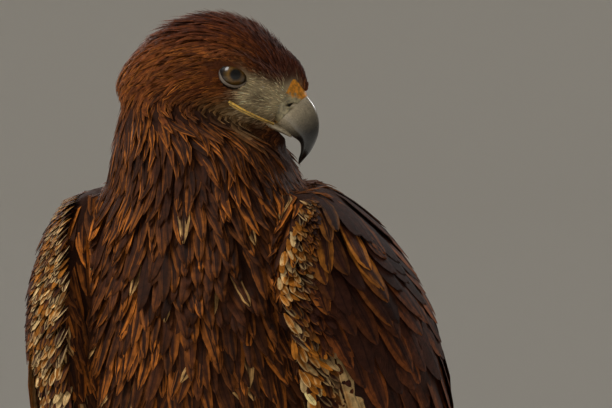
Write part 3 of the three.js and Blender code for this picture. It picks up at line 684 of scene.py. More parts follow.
def in_face_gap(points_mm, margin=0.0):
    """Where the eyes, the cere and the corners of the mouth are bare."""
    f, l, u = from_head(points_mm)
    edge = np.interp(u, [-26, -18, -12, -4, 3, 8.5, 12], [30, 33, 35, 34.5, 31, 34, 50])
    peak = (u > -2.5) & (f < 45) & (abs(l) < np.interp(f, [28, 36, 43], [7.0, 5.5, 3.0]))
    bill = ((f > edge - margin) & (u > -27) | (f > 36) & (u > -33)) & ~peak
    corner = np.interp(f, [1, 11, 21, 31], [-19.3, -21.8, -23.8, -25.3])
    gape = (f > 1) & (abs(u - corner) < 1.0) & (abs(l) > 8)
    close = np.linalg.norm(points_mm - np.asarray(HEAD_AT), axis=-1) < FACE_NEAR
    return close & (bill | gape | (eye_gap(points_mm) < BARE_EYE - margin))


def roots(wanted):
    """Points of the skin, evenly spread at the spacing that each place asks for."""
    corner = skin_points[faces] * 1000
    cross = np.cross(corner[:, 2] - corner[:, 0], corner[:, 3] - corner[:, 1])
    gap = fields[faces, SPACING].mean(axis=1)
    weight = np.linalg.norm(cross, axis=1) / 2 / gap ** 2 * wanted[faces].min(axis=1)
    pick = random.choice(len(faces), size=int(weight.sum() * TRIES), p=weight / weight.sum())
    u, v = random.random((2, len(pick), 1))
    a, b, c, d = skin_points[faces[pick]].transpose(1, 0, 2)
    points = (a * (1 - u) + b * u) * (1 - v) + (d * (1 - u) + c * u) * v
    tree = tree_of(points)
    alive = np.ones(len(points), bool)
    kept = []
    for index in range(len(points)):
        if alive[index]:
            kept.append(index)
            for _, other, _ in tree.find_range(points[index], gap[pick[index]] / 1000):
                alive[other] = False
    return points[kept], faces[pick[kept]]


def read(face, values):
    """The mean of values at the corners of each face."""
    return values[face].mean(axis=1)


def read_at(places, values):
    """Values of the skin's points at places on the skin."""
    return np.array([values[faces[surface.find_nearest(spot)[2]]].mean() for spot in places])


def marched(points, face, rows, turn, size):
    """Places, normals and ways along each feather as it lies on the skin, row by row."""
    reach = read(face, fields)[:, LENGTH] / 1000 * size
    here, corners = points, face
    steps = []
    last = 0.0
    cos, sin = np.cos(turn)[:, None], np.sin(turn)[:, None]
    for share in rows:
        out = unit(read(corners, skin_normals))
        way = unit(read(corners, fields[:, LIE]))
        way = level(way * cos + np.cross(out, way) * sin, out)
        if share > last:
            target = here + way * (reach * (share - last))[:, None]
            found = [surface.find_nearest(spot) for spot in target]
            here = np.array([hit[0] for hit in found])
            corners = faces[[hit[2] for hit in found]]
            out = unit(read(corners, skin_normals))
            way = level(way, out)
            last = share
        steps.append((here, out, way))
    return [np.stack(part, axis=1) for part in zip(*steps)]


def ring_of(columns):
    """A vane's section: places across it and whether each is underneath, the top first."""
    top = np.linspace(-1, 1, columns)
    across = np.concatenate([top, top[-2:0:-1]])
    return across, np.concatenate([np.zeros(columns), np.ones(columns - 2)])


def feather_mesh(name, points, across, rows, grounds, fringes, uv, flip=False):
    """One mesh of many closed vanes. points has feather, row and place round the section."""
    many, high, ring, _ = points.shape
    columns = ring // 2 + 1
    r, k = np.meshgrid(np.arange(high - 1), np.arange(ring), indexing="ij")
    here, there = r * ring, (k + 1) % ring
    quads = np.stack([here + k, here + there, here + ring + there, here + ring + k], axis=-1)
    caps = []
    for row, order in ((0, -1), (high - 1, 1)):
        for left in range(columns - 1):
            corners = [left, left + 1, ring - left - 1, (ring - left) % ring][::order]
            caps.append([row * ring + corner for corner in dict.fromkeys(corners)])
    square, tris = (
        np.array([cap for cap in caps if len(cap) == sides], int).reshape(-1, sides)
        for sides in (4, 3))
    quads = np.concatenate([quads.reshape(-1, 4), square])
    if flip:
        quads, tris = quads[:, ::-1], tris[:, ::-1]
    first = (np.arange(many) * high * ring)[:, None, None]
    corners = np.concatenate([(first + part).ravel() for part in (quads, tris)])
    after_quads = many * quads.size
    starts = np.concatenate([
        np.arange(0, after_quads, 4), after_quads + np.arange(0, many * tris.size, 3)])
    mesh = bpy.data.meshes.new(name)
    mesh.vertices.add(many * high * ring)
    mesh.vertices.foreach_set("co", points.astype(np.float32).ravel())
    mesh.loops.add(len(corners))
    mesh.loops.foreach_set("vertex_index", corners.astype(np.int32))
    mesh.polygons.add(len(starts))
    mesh.polygons.foreach_set("loop_start", starts.astype(np.int32))
    mesh.update(calc_edges=True)
    mesh.polygons.foreach_set("use_smooth", np.ones(len(starts), bool))
    pair = np.zeros(len(mesh.edges) * 2, np.int32)
    mesh.edges.foreach_get("vertices", pair)
    place = pair.reshape(-1, 2) % ring
    rim = (place[:, 0] == place[:, 1]) & np.isin(place[:, 0], (0, columns - 1))
    mesh.attributes.new("sharp_edge", "BOOLEAN", "EDGE").data.foreach_set("value", rim)
    vane = np.zeros((many, high, ring, 2), np.float32)
    vane[..., 0] = (across + 1) / 2
    vane[..., 1] = np.asarray(rows)[None, :, None]
    patch = uv[:, None, None, :] + (vane - 0.5) * PATCH
    for key, values in (("Vane", vane), ("OFBake", patch)):
        layer = mesh.uv_layers.new(name=key)
        layer.data.foreach_set("uv", values.reshape(-1, 2).astype(np.float32)[corners].ravel())
    for key, values in (("ground", grounds), ("fringe", fringes)):
        store(mesh, key, np.broadcast_to(values[:, None, None, :], (many, high, ring, 4)))
    piece = bpy.data.objects.new(name, mesh)
    bpy.context.scene.collection.objects.link(piece)
    return piece


# Keratin vanes: dull satin, with a dark shaft and fine slanting barbs, about 24 to a vane, drawn
# coarser than the real ones so that they show. A ragged fringe of another colour runs round the
# tip, different on each feather, and wear darkens and bleaches patches about 4 mm wide.
def feather_material(name, roughness):
    made, tree, shader = new_material(name, roughness, Specular_IOR_Level=0.12)
    vane = node(tree, "ShaderNodeUVMap", uv_map="Vane").outputs[0]
    parts = node(tree, "ShaderNodeSeparateXYZ", {0: vane})
    over, along_vane = parts.outputs[0], parts.outputs[1]
    place = node(tree, "ShaderNodeTexCoord").outputs["Object"]
    middle = node(tree, "ShaderNodeMath", {0: over, 1: 0.5}, operation="SUBTRACT").outputs[0]
    aside = node(tree, "ShaderNodeMath", {0: middle}, operation="ABSOLUTE").outputs[0]
    mottle = node(tree, "ShaderNodeTexNoise", {"Vector": place, "Scale": 260.0, "Detail": 5.0})
    mottle = mottle.outputs["Fac"]
    links = {0: aside, 1: -0.7, 2: along_vane}
    slant = node(tree, "ShaderNodeMath", links, operation="MULTIPLY_ADD")
    links = {0: mottle, 1: 0.12, 2: slant.outputs[0]}
    wobble = node(tree, "ShaderNodeMath", links, operation="MULTIPLY_ADD").outputs[0]
    wave = node(tree, "ShaderNodeMath", {0: wobble, 1: 150.0}, operation="MULTIPLY").outputs[0]
    barbs = node(tree, "ShaderNodeMath", {0: wave}, operation="SINE").outputs[0]
    ground = node(tree, "ShaderNodeAttribute", attribute_name="ground")
    fringe = node(tree, "ShaderNodeAttribute", attribute_name="fringe")
    own = node(tree, "ShaderNodeMath", {0: ground.outputs["Alpha"], 1: 40.0}, operation="MULTIPLY")
    own_place = node(tree, "ShaderNodeCombineXYZ", {2: own.outputs[0]}).outputs[0]
    links = {0: vane, 1: (7.0, 1.6, 0.0), 2: own_place}
    drawn = node(tree, "ShaderNodeVectorMath", links, operation="MULTIPLY_ADD").outputs[0]
    streak = node(tree, "ShaderNodeTexNoise", {"Vector": drawn, "Scale": 1.0, "Detail": 3.0})
    outer = node(tree, "ShaderNodeMath", {0: aside, 1: 1.3}, operation="MULTIPLY").outputs[0]
    links = {0: along_vane, 1: 0.4, 2: outer}
    outer = node(tree, "ShaderNodeMath", links, operation="MULTIPLY_ADD").outputs[0]
    links = {0: streak.outputs["Fac"], 1: 1.5, 2: outer}
    ragged = node(tree, "ShaderNodeMath", links, operation="MULTIPLY_ADD").outputs[0]
    links = {"Value": ragged, "From Min": 1.12, "From Max": 1.6}
    edge = node(tree, "ShaderNodeMapRange", links, interpolation_type="SMOOTHSTEP")
    links = {0: edge.outputs["Result"], 1: fringe.outputs["Alpha"]}
    share = node(tree, "ShaderNodeMath", links, operation="MULTIPLY").outputs[0]
    links = {"Factor": share, 6: ground.outputs["Color"], 7: fringe.outputs["Color"]}
    blended = node(tree, "ShaderNodeMix", links, data_type="RGBA")
    shaft = node(tree, "ShaderNodeMapRange", {
        "Value": aside, "From Min": 0.02, "From Max": 0.06, "To Min": 0.55, "To Max": 1.0})
    links = {0: barbs, 1: 0.17, 2: shaft.outputs["Result"]}
    grain = node(tree, "ShaderNodeMath", links, operation="MULTIPLY_ADD").outputs[0]
    cloud = node(tree, "ShaderNodeMapRange", {
        "Value": mottle, "From Min": 0.33, "From Max": 0.67, "To Min": 0.62, "To Max": 1.3})
    links = {0: grain, 1: cloud.outputs[0]}
    shade = node(tree, "ShaderNodeMath", links, operation="MULTIPLY").outputs[0]
    dressed(tree, shader, blended.outputs[2], shade, height=barbs, strength=0.35, depth=0.0002)
    return made


contour_vanes = feather_material("contour_feather_keratin", 0.6)


def body_coat(name, wanted, bake):
    """Feathers over one part of the skin, each with its own draw of size, lift and colour."""
    points, face = roots(wanted)
    mm = millimetres(points)
    covered = hidden_by_wing(mm) & (read(face, leg) < 0.5) & (read(face, headness) < 0.5)
    clear = ~covered & ~in_face_gap(mm)
    points, face = points[clear], face[clear]
    many = len(points)
    values = read(face, fields)
    t, rounded, tapered = np.array(BODY_VANE).T
    size = random.uniform(0.72, 1.25, many)
    stray = STRAY * (1 - 0.6 * read(face, face_share))
    turn = random.normal(0, 1, many) * stray
    for _ in range(2):
        places, outs, ways = marched(points, face, t, turn, size)
        bend = dot(ways[:, 1:], ways[:, :-1]).min(axis=1)
        size = np.where(bend < FOLDED, size * 0.5, size)
    tips = millimetres(places[:, -1])
    step = np.linalg.norm(np.diff(places, axis=1), axis=2).max(axis=1) * 1000
    step = step / (values[:, LENGTH] * size)
    clear = ~in_face_gap(tips, 1.0) & (bend > FOLDED) & (step < LONG_STEP)
    places, outs, ways, values, size, tips = (
        part[clear] for part in (places, outs, ways, values, size, tips))
    many = len(places)
    pointed = values[:, POINT][:, None]
    shape = rounded * (1 - pointed) + tapered * pointed
    half = values[:, WIDTH][:, None] / 2 * size[:, None] * shape
    loose = np.clip(random.normal(1, 0.28, many), 0.4, 2.0)[:, None]
    sunk = 0.6 * np.clip(values[:, LENGTH] / 20, 0.2, 1)
    height = values[:, LIFT][:, None] * loose * t ** 1.3 - sunk[:, None]
    over_shoulder = smooth(*SHOULDER_OUT, abs(tips[:, 0])) * smooth(*SHOULDER_UP, tips[:, 2])
    height = (height * (1 - 0.65 * over_shoulder)[:, None])[:, :, None]
    half = half[:, :, None]
    across, under = ring_of(3)
    rise = height - 0.30 * half * abs(across) ** 2 - THICK * under * np.minimum(1, half / 1.5)
    sides = np.cross(ways, outs)[:, :, None]
    points = places[:, :, None] + sides * (half * across)[..., None] / 1000
    points = points + outs[:, :, None] * rise[..., None] / 1000
    roots_mm = millimetres(places[:, 0])
    tone = np.exp(random.normal(0, 0.25, many) * (1 + read_at(places[:, 0], lores)))[:, None]
    grounds = with_alpha(values[:, GROUND] * tone, random.random((many, 1)))
    clump = np.array([noise.noise(Vector(spot) / 26) for spot in roots_mm])
    strong = values[:, AMOUNT] * np.clip(1.0 + 1.5 * clump, 0.15, 2.0)
    draw = random.choice([0.2, 0.7, 1.2, 2.0], many, p=[0.3, 0.3, 0.22, 0.18])
    strong = np.clip(strong * draw, 0, 1)
    edge_tone = np.clip(values[:, FRINGE] * np.exp(random.normal(0, 0.25, (many, 1))), 0, 1)
    pale = (random.random(many) < PALE_SHARE) & (roots_mm[:, 2] < PALE_BELOW)
    pale = pale & (read_at(places[:, 0], backness) < 0)
    edge_tone[pale] = PALE_BUFF
    fringes = with_alpha(edge_tone, np.where(pale, 0.9, strong))
    coat = feather_mesh(name, points, across, t, grounds, fringes, bake(roots_mm))
    coat.data.materials.append(contour_vanes)
    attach(coat, "root")
    return coat


def unwrapped(turn, height):
    """Places in the square of a bake, clear of its edges: round a form and along it."""
    return 0.01 + 0.98 * np.stack([turn, np.clip(height, 0, 1)], axis=1)


def round_trunk(mm):
    """An unwrap of the trunk: round its axis and down its length."""
    here, _, back = spine(TRUNK, trunk_row(mm))
    out = mm - here[:, :3]
    turn = np.arctan2(out[:, 0], dot(out, back)) / (2 * np.pi) + 0.5
    return unwrapped(turn, (680 - mm[:, 2]) / 500)


def round_head(mm):
    """An unwrap of the head: round the line from bill to nape, and along it."""
    f, l, u = from_head(mm)
    return unwrapped(np.arctan2(l, u + 8) / (2 * np.pi) + 0.5, (f + 110) / 160)


def round_leg(mm):
    """An unwrap of one leg: round its axis and down its length."""
    turn = np.arctan2(abs(mm[:, 0]) - 57, mm[:, 1] - 25) / (2 * np.pi) + 0.5
    return unwrapped(turn, mm[:, 2] / 360)


head_zone = headness > 0.5
trunk_zone = tract_is("trunk", "rump", "wing") & ~head_zone
front = backness < 0
left = skin_mm[:, 0] > 0
face_zone = head_zone & (reach < 62)
coats = [
    body_coat("face_feathers", face_zone, round_head),
    body_coat("nape_hackles", head_zone & ~face_zone, round_head),
    body_coat("breast_feathers", trunk_zone & front, round_trunk),
    body_coat("back_feathers", trunk_zone & ~front, round_trunk),
    body_coat("left_leg_feathers", tract_is("thigh", "shank") & left, round_leg),
    body_coat("right_leg_feathers", tract_is("thigh", "shank") & ~left, round_leg),
]
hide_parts("head")


# ---- Wings ----
# Folded wings on the body, of the same keratin: small scale-like coverts over the arm, larger
# tiers of coverts, the broad secondaries, and the long primaries whose tips reach the end of the
# tail. A band of small feathers mottled in cream and gold runs down each leading edge.

WING_BROWN = colour("3a1d12")
WING_EDGE = colour("88491d")
# A grey tint that stands in for the gloss on the shoulder: painted sheen, not a colour of the
# feathers.
WING_PAINTED_SHEEN = colour("3b2c29")
WING_CREAM = colour("d8b47c")
WING_GOLD = colour("a5651f")
QUILL_BROWN = colour("38261b")
QUILL_EDGE = colour("7b5431")
# Share of the length and half width, of a covert and of a flight feather.
COVERT_VANE = [
    [0, 0.3], [0.2, 0.76], [0.45, 0.98], [0.68, 0.96], [0.84, 0.74], [0.94, 0.44], [1, 0.1],
]
QUILL_VANE = [
    [0, 0.28], [0.1, 0.66], [0.22, 0.86], [0.36, 0.96], [0.5, 1], [0.64, 1],
    [0.76, 0.97], [0.86, 0.88], [0.93, 0.7], [0.975, 0.44], [1, 0.12],
]
CLEFT = 1.5  # half the gap between the wings over the middle of the back
wing_vanes = feather_material("wing_feather_keratin", 0.7)


def joined(pieces, name):
    """Meshes of stiff feathers made one piece."""
    with bpy.context.temp_override(active_object=pieces[0], selected_editable_objects=pieces):
        bpy.ops.object.join()
    pieces[0].name = name
    pieces[0].data.materials.clear()
    pieces[0].data.materials.append(wing_vanes)
    return pieces[0]


def sheet_feathers(name, side, tiers):
    """Feathers of one wing wrapped on its sheet, tier by tier, as one mesh."""
    pieces = []
    for tier in tiers:
        t, half = np.array(tier["outline"]).T
        across, under = ring_of(tier["columns"])
        root, tip, place, sway, width, loose = (
            np.asarray(tier[key], float)[:, None]
            for key in ("root", "tip", "across", "sway", "width", "loose"))
        s = root + (tip - root) * t
        centre = wing_angle(s, place + sway * t, side)
        wide = (width / 2 * half)[:, :, None]
        here, beside = (on_body(WING, s, centre + turn, 0.0, side) for turn in (0, 0.01))
        step = np.linalg.norm(beside - here, axis=-1) / 0.01
        height = np.interp(s, ARM_ROWS, ARM_HEIGHTS) if tier["on_arm"] else 0
        heights = tier["heights"]
        height = height + np.interp(t, np.linspace(0, 1, len(heights)), heights) + loose * t ** 1.5
        offset = wide * across
        rise = height[:, :, None] + tier["slope"] / tier["pitch"] * offset
        rise = rise - tier["camber"] * wide * across ** 2 - tier["thick"] * under
        angle = centre[:, :, None] + offset / step[:, :, None]
        radius = along(WING, s.ravel())[:, 3].reshape(s.shape) + height
        angle = np.maximum(angle, np.arcsin(np.clip(CLEFT / radius, 0, 1))[:, :, None])
        points = metres(on_body(WING, s[:, :, None], angle, rise, side))
        uv = unwrapped(place[:, 0].clip(0, 1), root[:, 0] / 12)
        pieces.append(feather_mesh(
            f"{name}_{len(pieces)}", points, across, t, tier["grounds"], tier["fringes"], uv,
            flip=side < 0))
    return joined(pieces, name)


def small_coverts(side, low, high, first, last, size, heights):
    """Rows of small coverts down the arm, over the strip from low to high across it.

    They are smaller towards the leading edge, where they are mottled in cream and gold.
    """
    root, across = [], []
    s = first
    row = 0
    while s < last:
        pitch = size * np.interp(s, [0, 1, 3.5], [0.75, 1.0, 1.3])
        # The wing is about 185 mm round, and less over its front end.
        width = (185 if s > 0.8 else 60 + 150 * s) * (high - low)
        many = max(3, int(width / pitch))
        spots = (np.arange(many) + (row % 2) * 0.5 + random.uniform(-0.2, 0.2, many)) / many
        root.extend(s + random.uniform(-0.03, 0.03, many) + 0.05 * spots)
        across.extend(np.clip(low + (high - low) * spots, 0.01, 0.99))
        s += pitch * 0.8 / 52
        row += 1
    root, across = np.array(root), np.array(across)
    many = len(root)
    big = size / 9.5 * np.interp(across, [0, 0.6, 0.85, 1], [1.5, 1.3, 0.9, 0.8])
    big = big * np.interp(root, [0, 1.2, 3.5], [0.75, 1.0, 1.25])
    stubby = 1 if size > 9 else 0.78
    length = 29 * big * stubby * random.uniform(0.85, 1.2, many)
    band = BAND[side]
    edge = smooth(band - 0.04, band + 0.02, across + 0.02 * np.sin(root * 7 + side))
    edge = edge * smooth(4.8, 3.9, root)
    # Painted sheen: coverts in the middle of the arm near the shoulder are tinted grey for the
    # gloss there.
    painted_sheen = smooth(0.9, 0.3, abs(across - 0.5) * 8) * smooth(1.8, 0.6, root)
    pick = random.random(many) - 0.35 * smooth(0.965, 0.98, across) * (side > 0) + 0.07 * (side < 0)
    cream = np.interp(root, [0, 1.6, 2.4, 4.8], [0.04, 0.08, 0.35, 0.45])
    gold = WING_GOLD * (1.15 if side > 0 else 0.75)
    mottled = np.where((pick < cream + 0.38)[:, None], gold, WING_BROWN)
    mottled = np.where((pick < cream)[:, None], WING_CREAM, mottled)
    ground = layered(WING_BROWN, (WING_PAINTED_SHEEN, painted_sheen * 0.15), (mottled, edge))
    tone = np.exp(random.normal(0, 0.22, (many, 1)))
    shoulder = smooth(1.1, 0.5, root) * smooth(0.6, 0.75, across)
    pale_or_gold = np.where((random.random(many) < 0.5)[:, None], WING_CREAM, gold)
    fringe = layered(WING_EDGE, (WING_GOLD * 1.1, shoulder), (pale_or_gold, edge))
    strong = np.maximum(random.uniform(-0.4, 0.9, many), edge * random.uniform(0.35, 1, many))
    return dict(
        root=root, tip=root + length / 50, across=across, sway=random.normal(0, 0.012, many) - 0.01,
        width=12.5 * big / stubby, outline=COVERT_VANE, columns=3, on_arm=True, heights=heights,
        loose=random.normal(0, 0.4, many), slope=0.9, pitch=12, camber=0.14, thick=THICK,
        grounds=with_alpha(ground * tone, random.random(many)),
        fringes=with_alpha(fringe * tone, np.clip(strong, 0, 1)),
    )


def tier_of(many, root, tip, across, width, heights, on_arm, outline, columns, look, slope=2.2):
    """One tier of large feathers, from the back to the leading edge."""
    ground, edge, alpha = look
    k = np.linspace(0, 1, many)
    tone = np.exp(random.normal(0, 0.12, (many, 1)))
    grid = lambda values: np.interp(k, np.linspace(0, 1, len(values)), values)
    places = grid(across) + random.normal(0, 0.004, many)
    return dict(
        root=grid(root) + random.normal(0, 0.02, many),
        tip=grid(tip) + random.normal(0, 0.04, many),
        across=places, sway=random.normal(0, 0.004, many),
        width=grid(width) * random.uniform(0.96, 1.04, many),
        outline=outline, columns=columns, on_arm=on_arm, heights=heights,
        loose=random.normal(0, 0.35, many),
        slope=slope, pitch=170 * (across[-1] - across[0]) / many, camber=0.05, thick=QUILL_THICK,
        grounds=with_alpha(ground * tone, random.random(many)),
        fringes=with_alpha(edge * tone, np.full(many, alpha)),
    )


# Across each wing, 1 for the left and -1 for the right: where the mottled band begins, where its
# coverts begin, their size, where the coverts of the arm end, and where the pale strip lies.
BAND, BAND_FROM, BAND_SIZE = {1: 0.95, -1: 0.80}, {1: 0.90, -1: 0.74}, {1: 3.0, -1: 4.0}
ARM_TO, STRIP = {1: 0.94, -1: 0.80}, {1: [0.885, 0.925], -1: [0.78, 0.80]}
QUILL_THICK = 0.45
COVERT_LOOK = (WING_BROWN, WING_EDGE, 0.6)

for side, word in ((1, "left"), (-1, "right")):
    tiers = [
        # Primaries.
        tier_of(10, [4.9, 4.9], [10.2, 11.0, 11.75, 12.0, 11.5], [0.30, 0.86], [30, 28],
                [-13, -10, -8.6, -6, -4.6], False, QUILL_VANE, 7, (QUILL_BROWN, QUILL_EDGE, 0.35)),
        # Secondaries.
        tier_of(15, [3.2, 3.6], [7.4, 8.0, 8.4], [0.07, 0.90], [42, 38],
                [-9, -3, -1.5, -0.8, 0.4], False, QUILL_VANE, 7, (QUILL_BROWN, QUILL_EDGE, 0.6)),
        # Greater, middle and lesser coverts.
        tier_of(15, [2.6, 2.7], [5.3, 5.2, 4.9], [0.05, 0.95], [34, 26], [-3.5, 1.5, 5.2, 7.0],
                True, QUILL_VANE, 5, (WING_BROWN, WING_EDGE, 0.55)),
        tier_of(17, [2.1, 2.2], [4.4, 4.2], [0.04, 0.96], [32, 22], [-3.5, 2.2, 6.4, 7.8],
                True, COVERT_VANE, 5, COVERT_LOOK),
        tier_of(17, [1.8, 1.9], [3.7, 3.55], [0.03, 0.965], [30, 20], [-3.5, 2.0, 5.8, 7.4],
                True, COVERT_VANE, 5, COVERT_LOOK),
        # The pale strip beside the band.
        tier_of(3, [1.9, 2.1], [3.0, 3.4], STRIP[side], [15, 13], [0.5, 4.5, 6.6, 7.2],
                True, COVERT_VANE, 5, (WING_CREAM * 0.95, WING_GOLD, 0.7), slope=0.6),
        # Coverts of the arm, and of the band.
        small_coverts(side, 0.0, ARM_TO[side], 0.02, 3.0, 13.0, [-2.5, 1.5, 4.0, 5.2]),
        small_coverts(side, BAND_FROM[side], 1.0, 0.1, 4.6, BAND_SIZE[side], [-1.0, 2.2, 3.8, 4.8]),
    ]
    wing = sheet_feathers(f"{word}_wing_feathers", side, tiers)
    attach(wing, "root")
    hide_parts(f"{word}_wing")


# ---- Tail ----
# Twelve broad rectrices of keratin closed like a fan, the middle pair on top, with coverts over
# and under their roots.

TAIL_LENGTH = 298
STEP_DOWN = 1.05  # by which each feather of the fan lies under the one before
TAIL_BROWN = colour("2e211a")
TAIL_EDGE = colour("6a5340")
UNDER_TAN = colour("6a4426")
tail_parts = []


def tail_feathers(places, splay, root, tip, width, heights, outline, columns, look, camber=0.06):
    """Flat feathers of the tail, one for each place from the middle."""
    ground, edge, alpha = look
    t, half = np.array(outline).T
    across, under = ring_of(columns)
    places, splay, tip = (np.asarray(part, float)[:, None] for part in (places, splay, tip))
    distance = root + (tip - root) * t
    half = (width / 2 * half)[None, :, None]
    middle = places + distance * np.tan(np.radians(splay))
    rise = heights[:, :, None] - camber * half * across ** 2 - QUILL_THICK * under
    points = metres(on_tail(distance[:, :, None], middle[:, :, None] + half * across, rise))
    many = len(places)
    tone = np.exp(random.normal(0, 0.12, (many, 1)))
    uv = np.stack([0.5 + places[:, 0] / 120, np.full(many, 0.02 + root / 400)], axis=1)
    uv[:, 1] += np.linspace(0, 0.08, many)
    tail_parts.append(feather_mesh(
        f"tail_part_{len(tail_parts)}", points, across, t,
        with_alpha(ground * tone, random.random(many)),
        with_alpha(edge * tone, np.full(many, alpha)), uv))


pair = np.repeat(np.arange(6), 2)
sign = np.tile([1, -1], 6)
place = sign * (pair + 0.5)
fan = np.tile((-STEP_DOWN * (2 * pair + (sign < 0)))[:, None], len(QUILL_VANE))
tail_feathers(
    place * 2.2, place * 1.05, 20, TAIL_LENGTH - 2 * pair, 44, fan,
    QUILL_VANE, 7, (TAIL_BROWN, TAIL_EDGE, 0.7))
t = np.linspace(0, 1, len(COVERT_VANE))
for row in range(6):
    many = 5 + row % 2
    spots = (np.arange(many) - (many - 1) / 2) * 10.5 + random.normal(0, 0.6, many)
    over = np.linspace(0, 0.8, many)[:, None]
    rise = np.interp(t, [0, 0.5, 1], [2, 8.5, 5.5])[None] + over
    tail_feathers(
        spots, spots * 0.12, -12 + row * 15, 46 + row * 19 - abs(spots) * 0.4, 22, rise + 0.4,
        COVERT_VANE, 3, (BACK_BROWN, BACK_EDGE, 0.8))
    rise = -np.interp(t, [0, 0.5, 1], [17, 23.5, 18.5])[None] - over
    tail_feathers(
        spots, spots * 0.12, -12 + row * 17, 50 + row * 21 - abs(spots) * 0.4, 24, rise,
        COVERT_VANE, 3, (UNDER_TAN, THIGH_EDGE, 0.8), camber=-0.1)
tail = joined(tail_parts, "tail_feathers")
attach(tail, "root")
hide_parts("tail")


# ---- Eyes ----
# A wet eyeball with a clear cornea over an amber-brown iris and a round black pupil. The lids are
# a low ring of bare grey skin, flattest under the brow.

# Angles from the middle of the look to the rims of iris and pupil, and how far the cornea bulges.
IRIS_EDGE, PUPIL_EDGE, BULGE = math.radians(43), math.radians(14.5), 0.9
# Across a lid: distance from the line of the look, and height over the eyeball.
LID_PROFILE = [
    [7.5, -1.2], [7.55, 0.1], [7.8, 0.5], [8.25, 0.65], [8.75, 0.5],
    [9.2, 0.15], [9.6, -0.7], [9.95, -2.5], [10.1, -6],
]
# The dark lid colour is painted shade, for the upper lid under the brow and the edge under the
# feathers.
LID_GREY, LID_PAINTED_SHADE = colour("83776a"), colour("2b1f19")

# The cornea is wet and very smooth, so the lights mirror sharply in its clear coat. The iris under
# it is dull, amber-brown in the middle and dark at its rim, with fibres that run in to the pupil.
eye_material, tree, shader = new_material(
    "wet_cornea_over_iris", 0.3, Specular_IOR_Level=0.2,
    Coat_Weight=0.7, Coat_Roughness=0.02, Coat_IOR=1.38)
ball = node(tree, "ShaderNodeUVMap", uv_map="UVMap").outputs[0]
height = node(tree, "ShaderNodeSeparateXYZ", {0: ball}).outputs[1]
stretch = node(tree, "ShaderNodeVectorMath", {0: ball, 1: (60.0, 7.0, 0.0)}, operation="MULTIPLY")
fibres = node(tree, "ShaderNodeTexNoise", {
    "Vector": stretch.outputs[0], "Scale": 1.0, "Detail": 5.0, "Roughness": 0.7})
ramp = node(tree, "ShaderNodeValToRGB", {0: height})
iris, pupil = (1 - math.degrees(edge) / 180 for edge in (IRIS_EDGE, PUPIL_EDGE))
stops = [
    (0.0, "0d0908"), (iris - 0.012, "0d0908"), (iris + 0.012, "241607"), (0.825, "42300f"),
    (0.875, "6a4a16"), (pupil - 0.007, "38280c"), (pupil + 0.003, "040303"), (1.0, "020202"),
]
while len(ramp.color_ramp.elements) < len(stops):
    ramp.color_ramp.elements.new(0.5)
for element, (position, code) in zip(ramp.color_ramp.elements, stops):
    element.position = position
    element.color = (*colour(code), 1)
shade = node(tree, "ShaderNodeMapRange", {
    "Value": fibres.outputs["Fac"],
    "From Min": 0.3, "From Max": 0.7, "To Min": 0.55, "To Max": 1.35})
links = {0: ramp.outputs[0], 1: shade.outputs["Result"]}
tint = node(tree, "ShaderNodeVectorMath", links, operation="MULTIPLY")
tree.links.new(tint.outputs["Vector"], shader.inputs["Base Color"])

# Bare skin of the lids: a faint sheen, with wrinkles 0.7 mm wide, pale grey on the lower lid.
# The upper lid under the brow and the outer edge under the feathers are painted dark as painted
# shade.
lid_material, tree, shader = new_material("bare_lid_skin", 0.5, Specular_IOR_Level=0.4)
place = node(tree, "ShaderNodeTexCoord").outputs["Object"]
folds = node(tree, "ShaderNodeTexNoise", {"Vector": place, "Scale": 1500.0, "Detail": 4.0})
fac = folds.outputs["Fac"]
own_colour(tree, shader, fac, (0.0, 1.0), (0.6, 1.25), fac, strength=0.5, depth=0.0004)

for side, word in ((1, "left"), (-1, "right")):
    centre, look, fore, over = eye_axes(side)
    bm = bmesh.new()
    bm.loops.layers.uv.new("UVMap")
    bmesh.ops.create_uvsphere(bm, u_segments=64, v_segments=48, radius=1, calc_uvs=True)
    for vert in bm.verts:
        polar = math.acos(max(-1.0, min(1.0, vert.co.z)))
        radius = EYE_RADIUS + BULGE * max(0.0, 1 - (polar / IRIS_EDGE) ** 2)
        spot = vert.co.normalized() * radius
        vert.co = metres(centre + fore * spot.x + over * spot.y + look * spot.z)
    eye = finished(bm, f"{word}_eyeball")
    eye.data.materials.append(eye_material)
    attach(eye, "root")
    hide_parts(f"{word}_eye")

    turn = np.linspace(0, 2 * np.pi, 72, endpoint=False)
    rings = []
    for radius, rise in LID_PROFILE:
        corner = 1 + 0.10 * np.cos(turn) ** 8
        a = radius * np.cos(turn) * LID_LONG * corner
        b = radius * np.sin(turn) * np.where(np.sin(turn) > 0, LID_TOP, LID_BOTTOM)
        depth = np.sqrt(np.maximum(EYE_RADIUS ** 2 - a ** 2 - b ** 2, 6.0)) + rise
        wrinkle = 0.10 * np.sin(turn * 17) * (radius > 8) * (radius < 12)
        ring = centre + np.outer(a, fore) + np.outer(b, over)
        rings.append(ring + np.outer(depth + wrinkle, look))
    bm = bmesh.new()
    tube(bm, rings, closed=True)
    lids = finished(bm, f"{word}_lids")
    points = millimetres(values_of(lids, "co"))
    high = (points - centre) @ over
    wide = np.hypot((points - centre) @ fore, high)
    # Painted shade: only the lower inner lid keeps the pale grey, and the lids are coloured dark
    # above and at the outer edge.
    pale = smooth(1.5, -2.5, high) * smooth(10.2, 9.0, wide)
    store_ground(lids, blend(LID_PAINTED_SHADE, LID_GREY, pale))
    lids.data.materials.append(lid_material)
    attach(lids, "root")


# ---- Cere, mouth corners and bill ----
# The cere is soft waxy skin over the root of the bill, yellow on top and duller below, with a
# slit nostril on each side. It runs back under the eye as the yellow edge of the mouth. The bill
# is two halves of horn that grow out from under it.

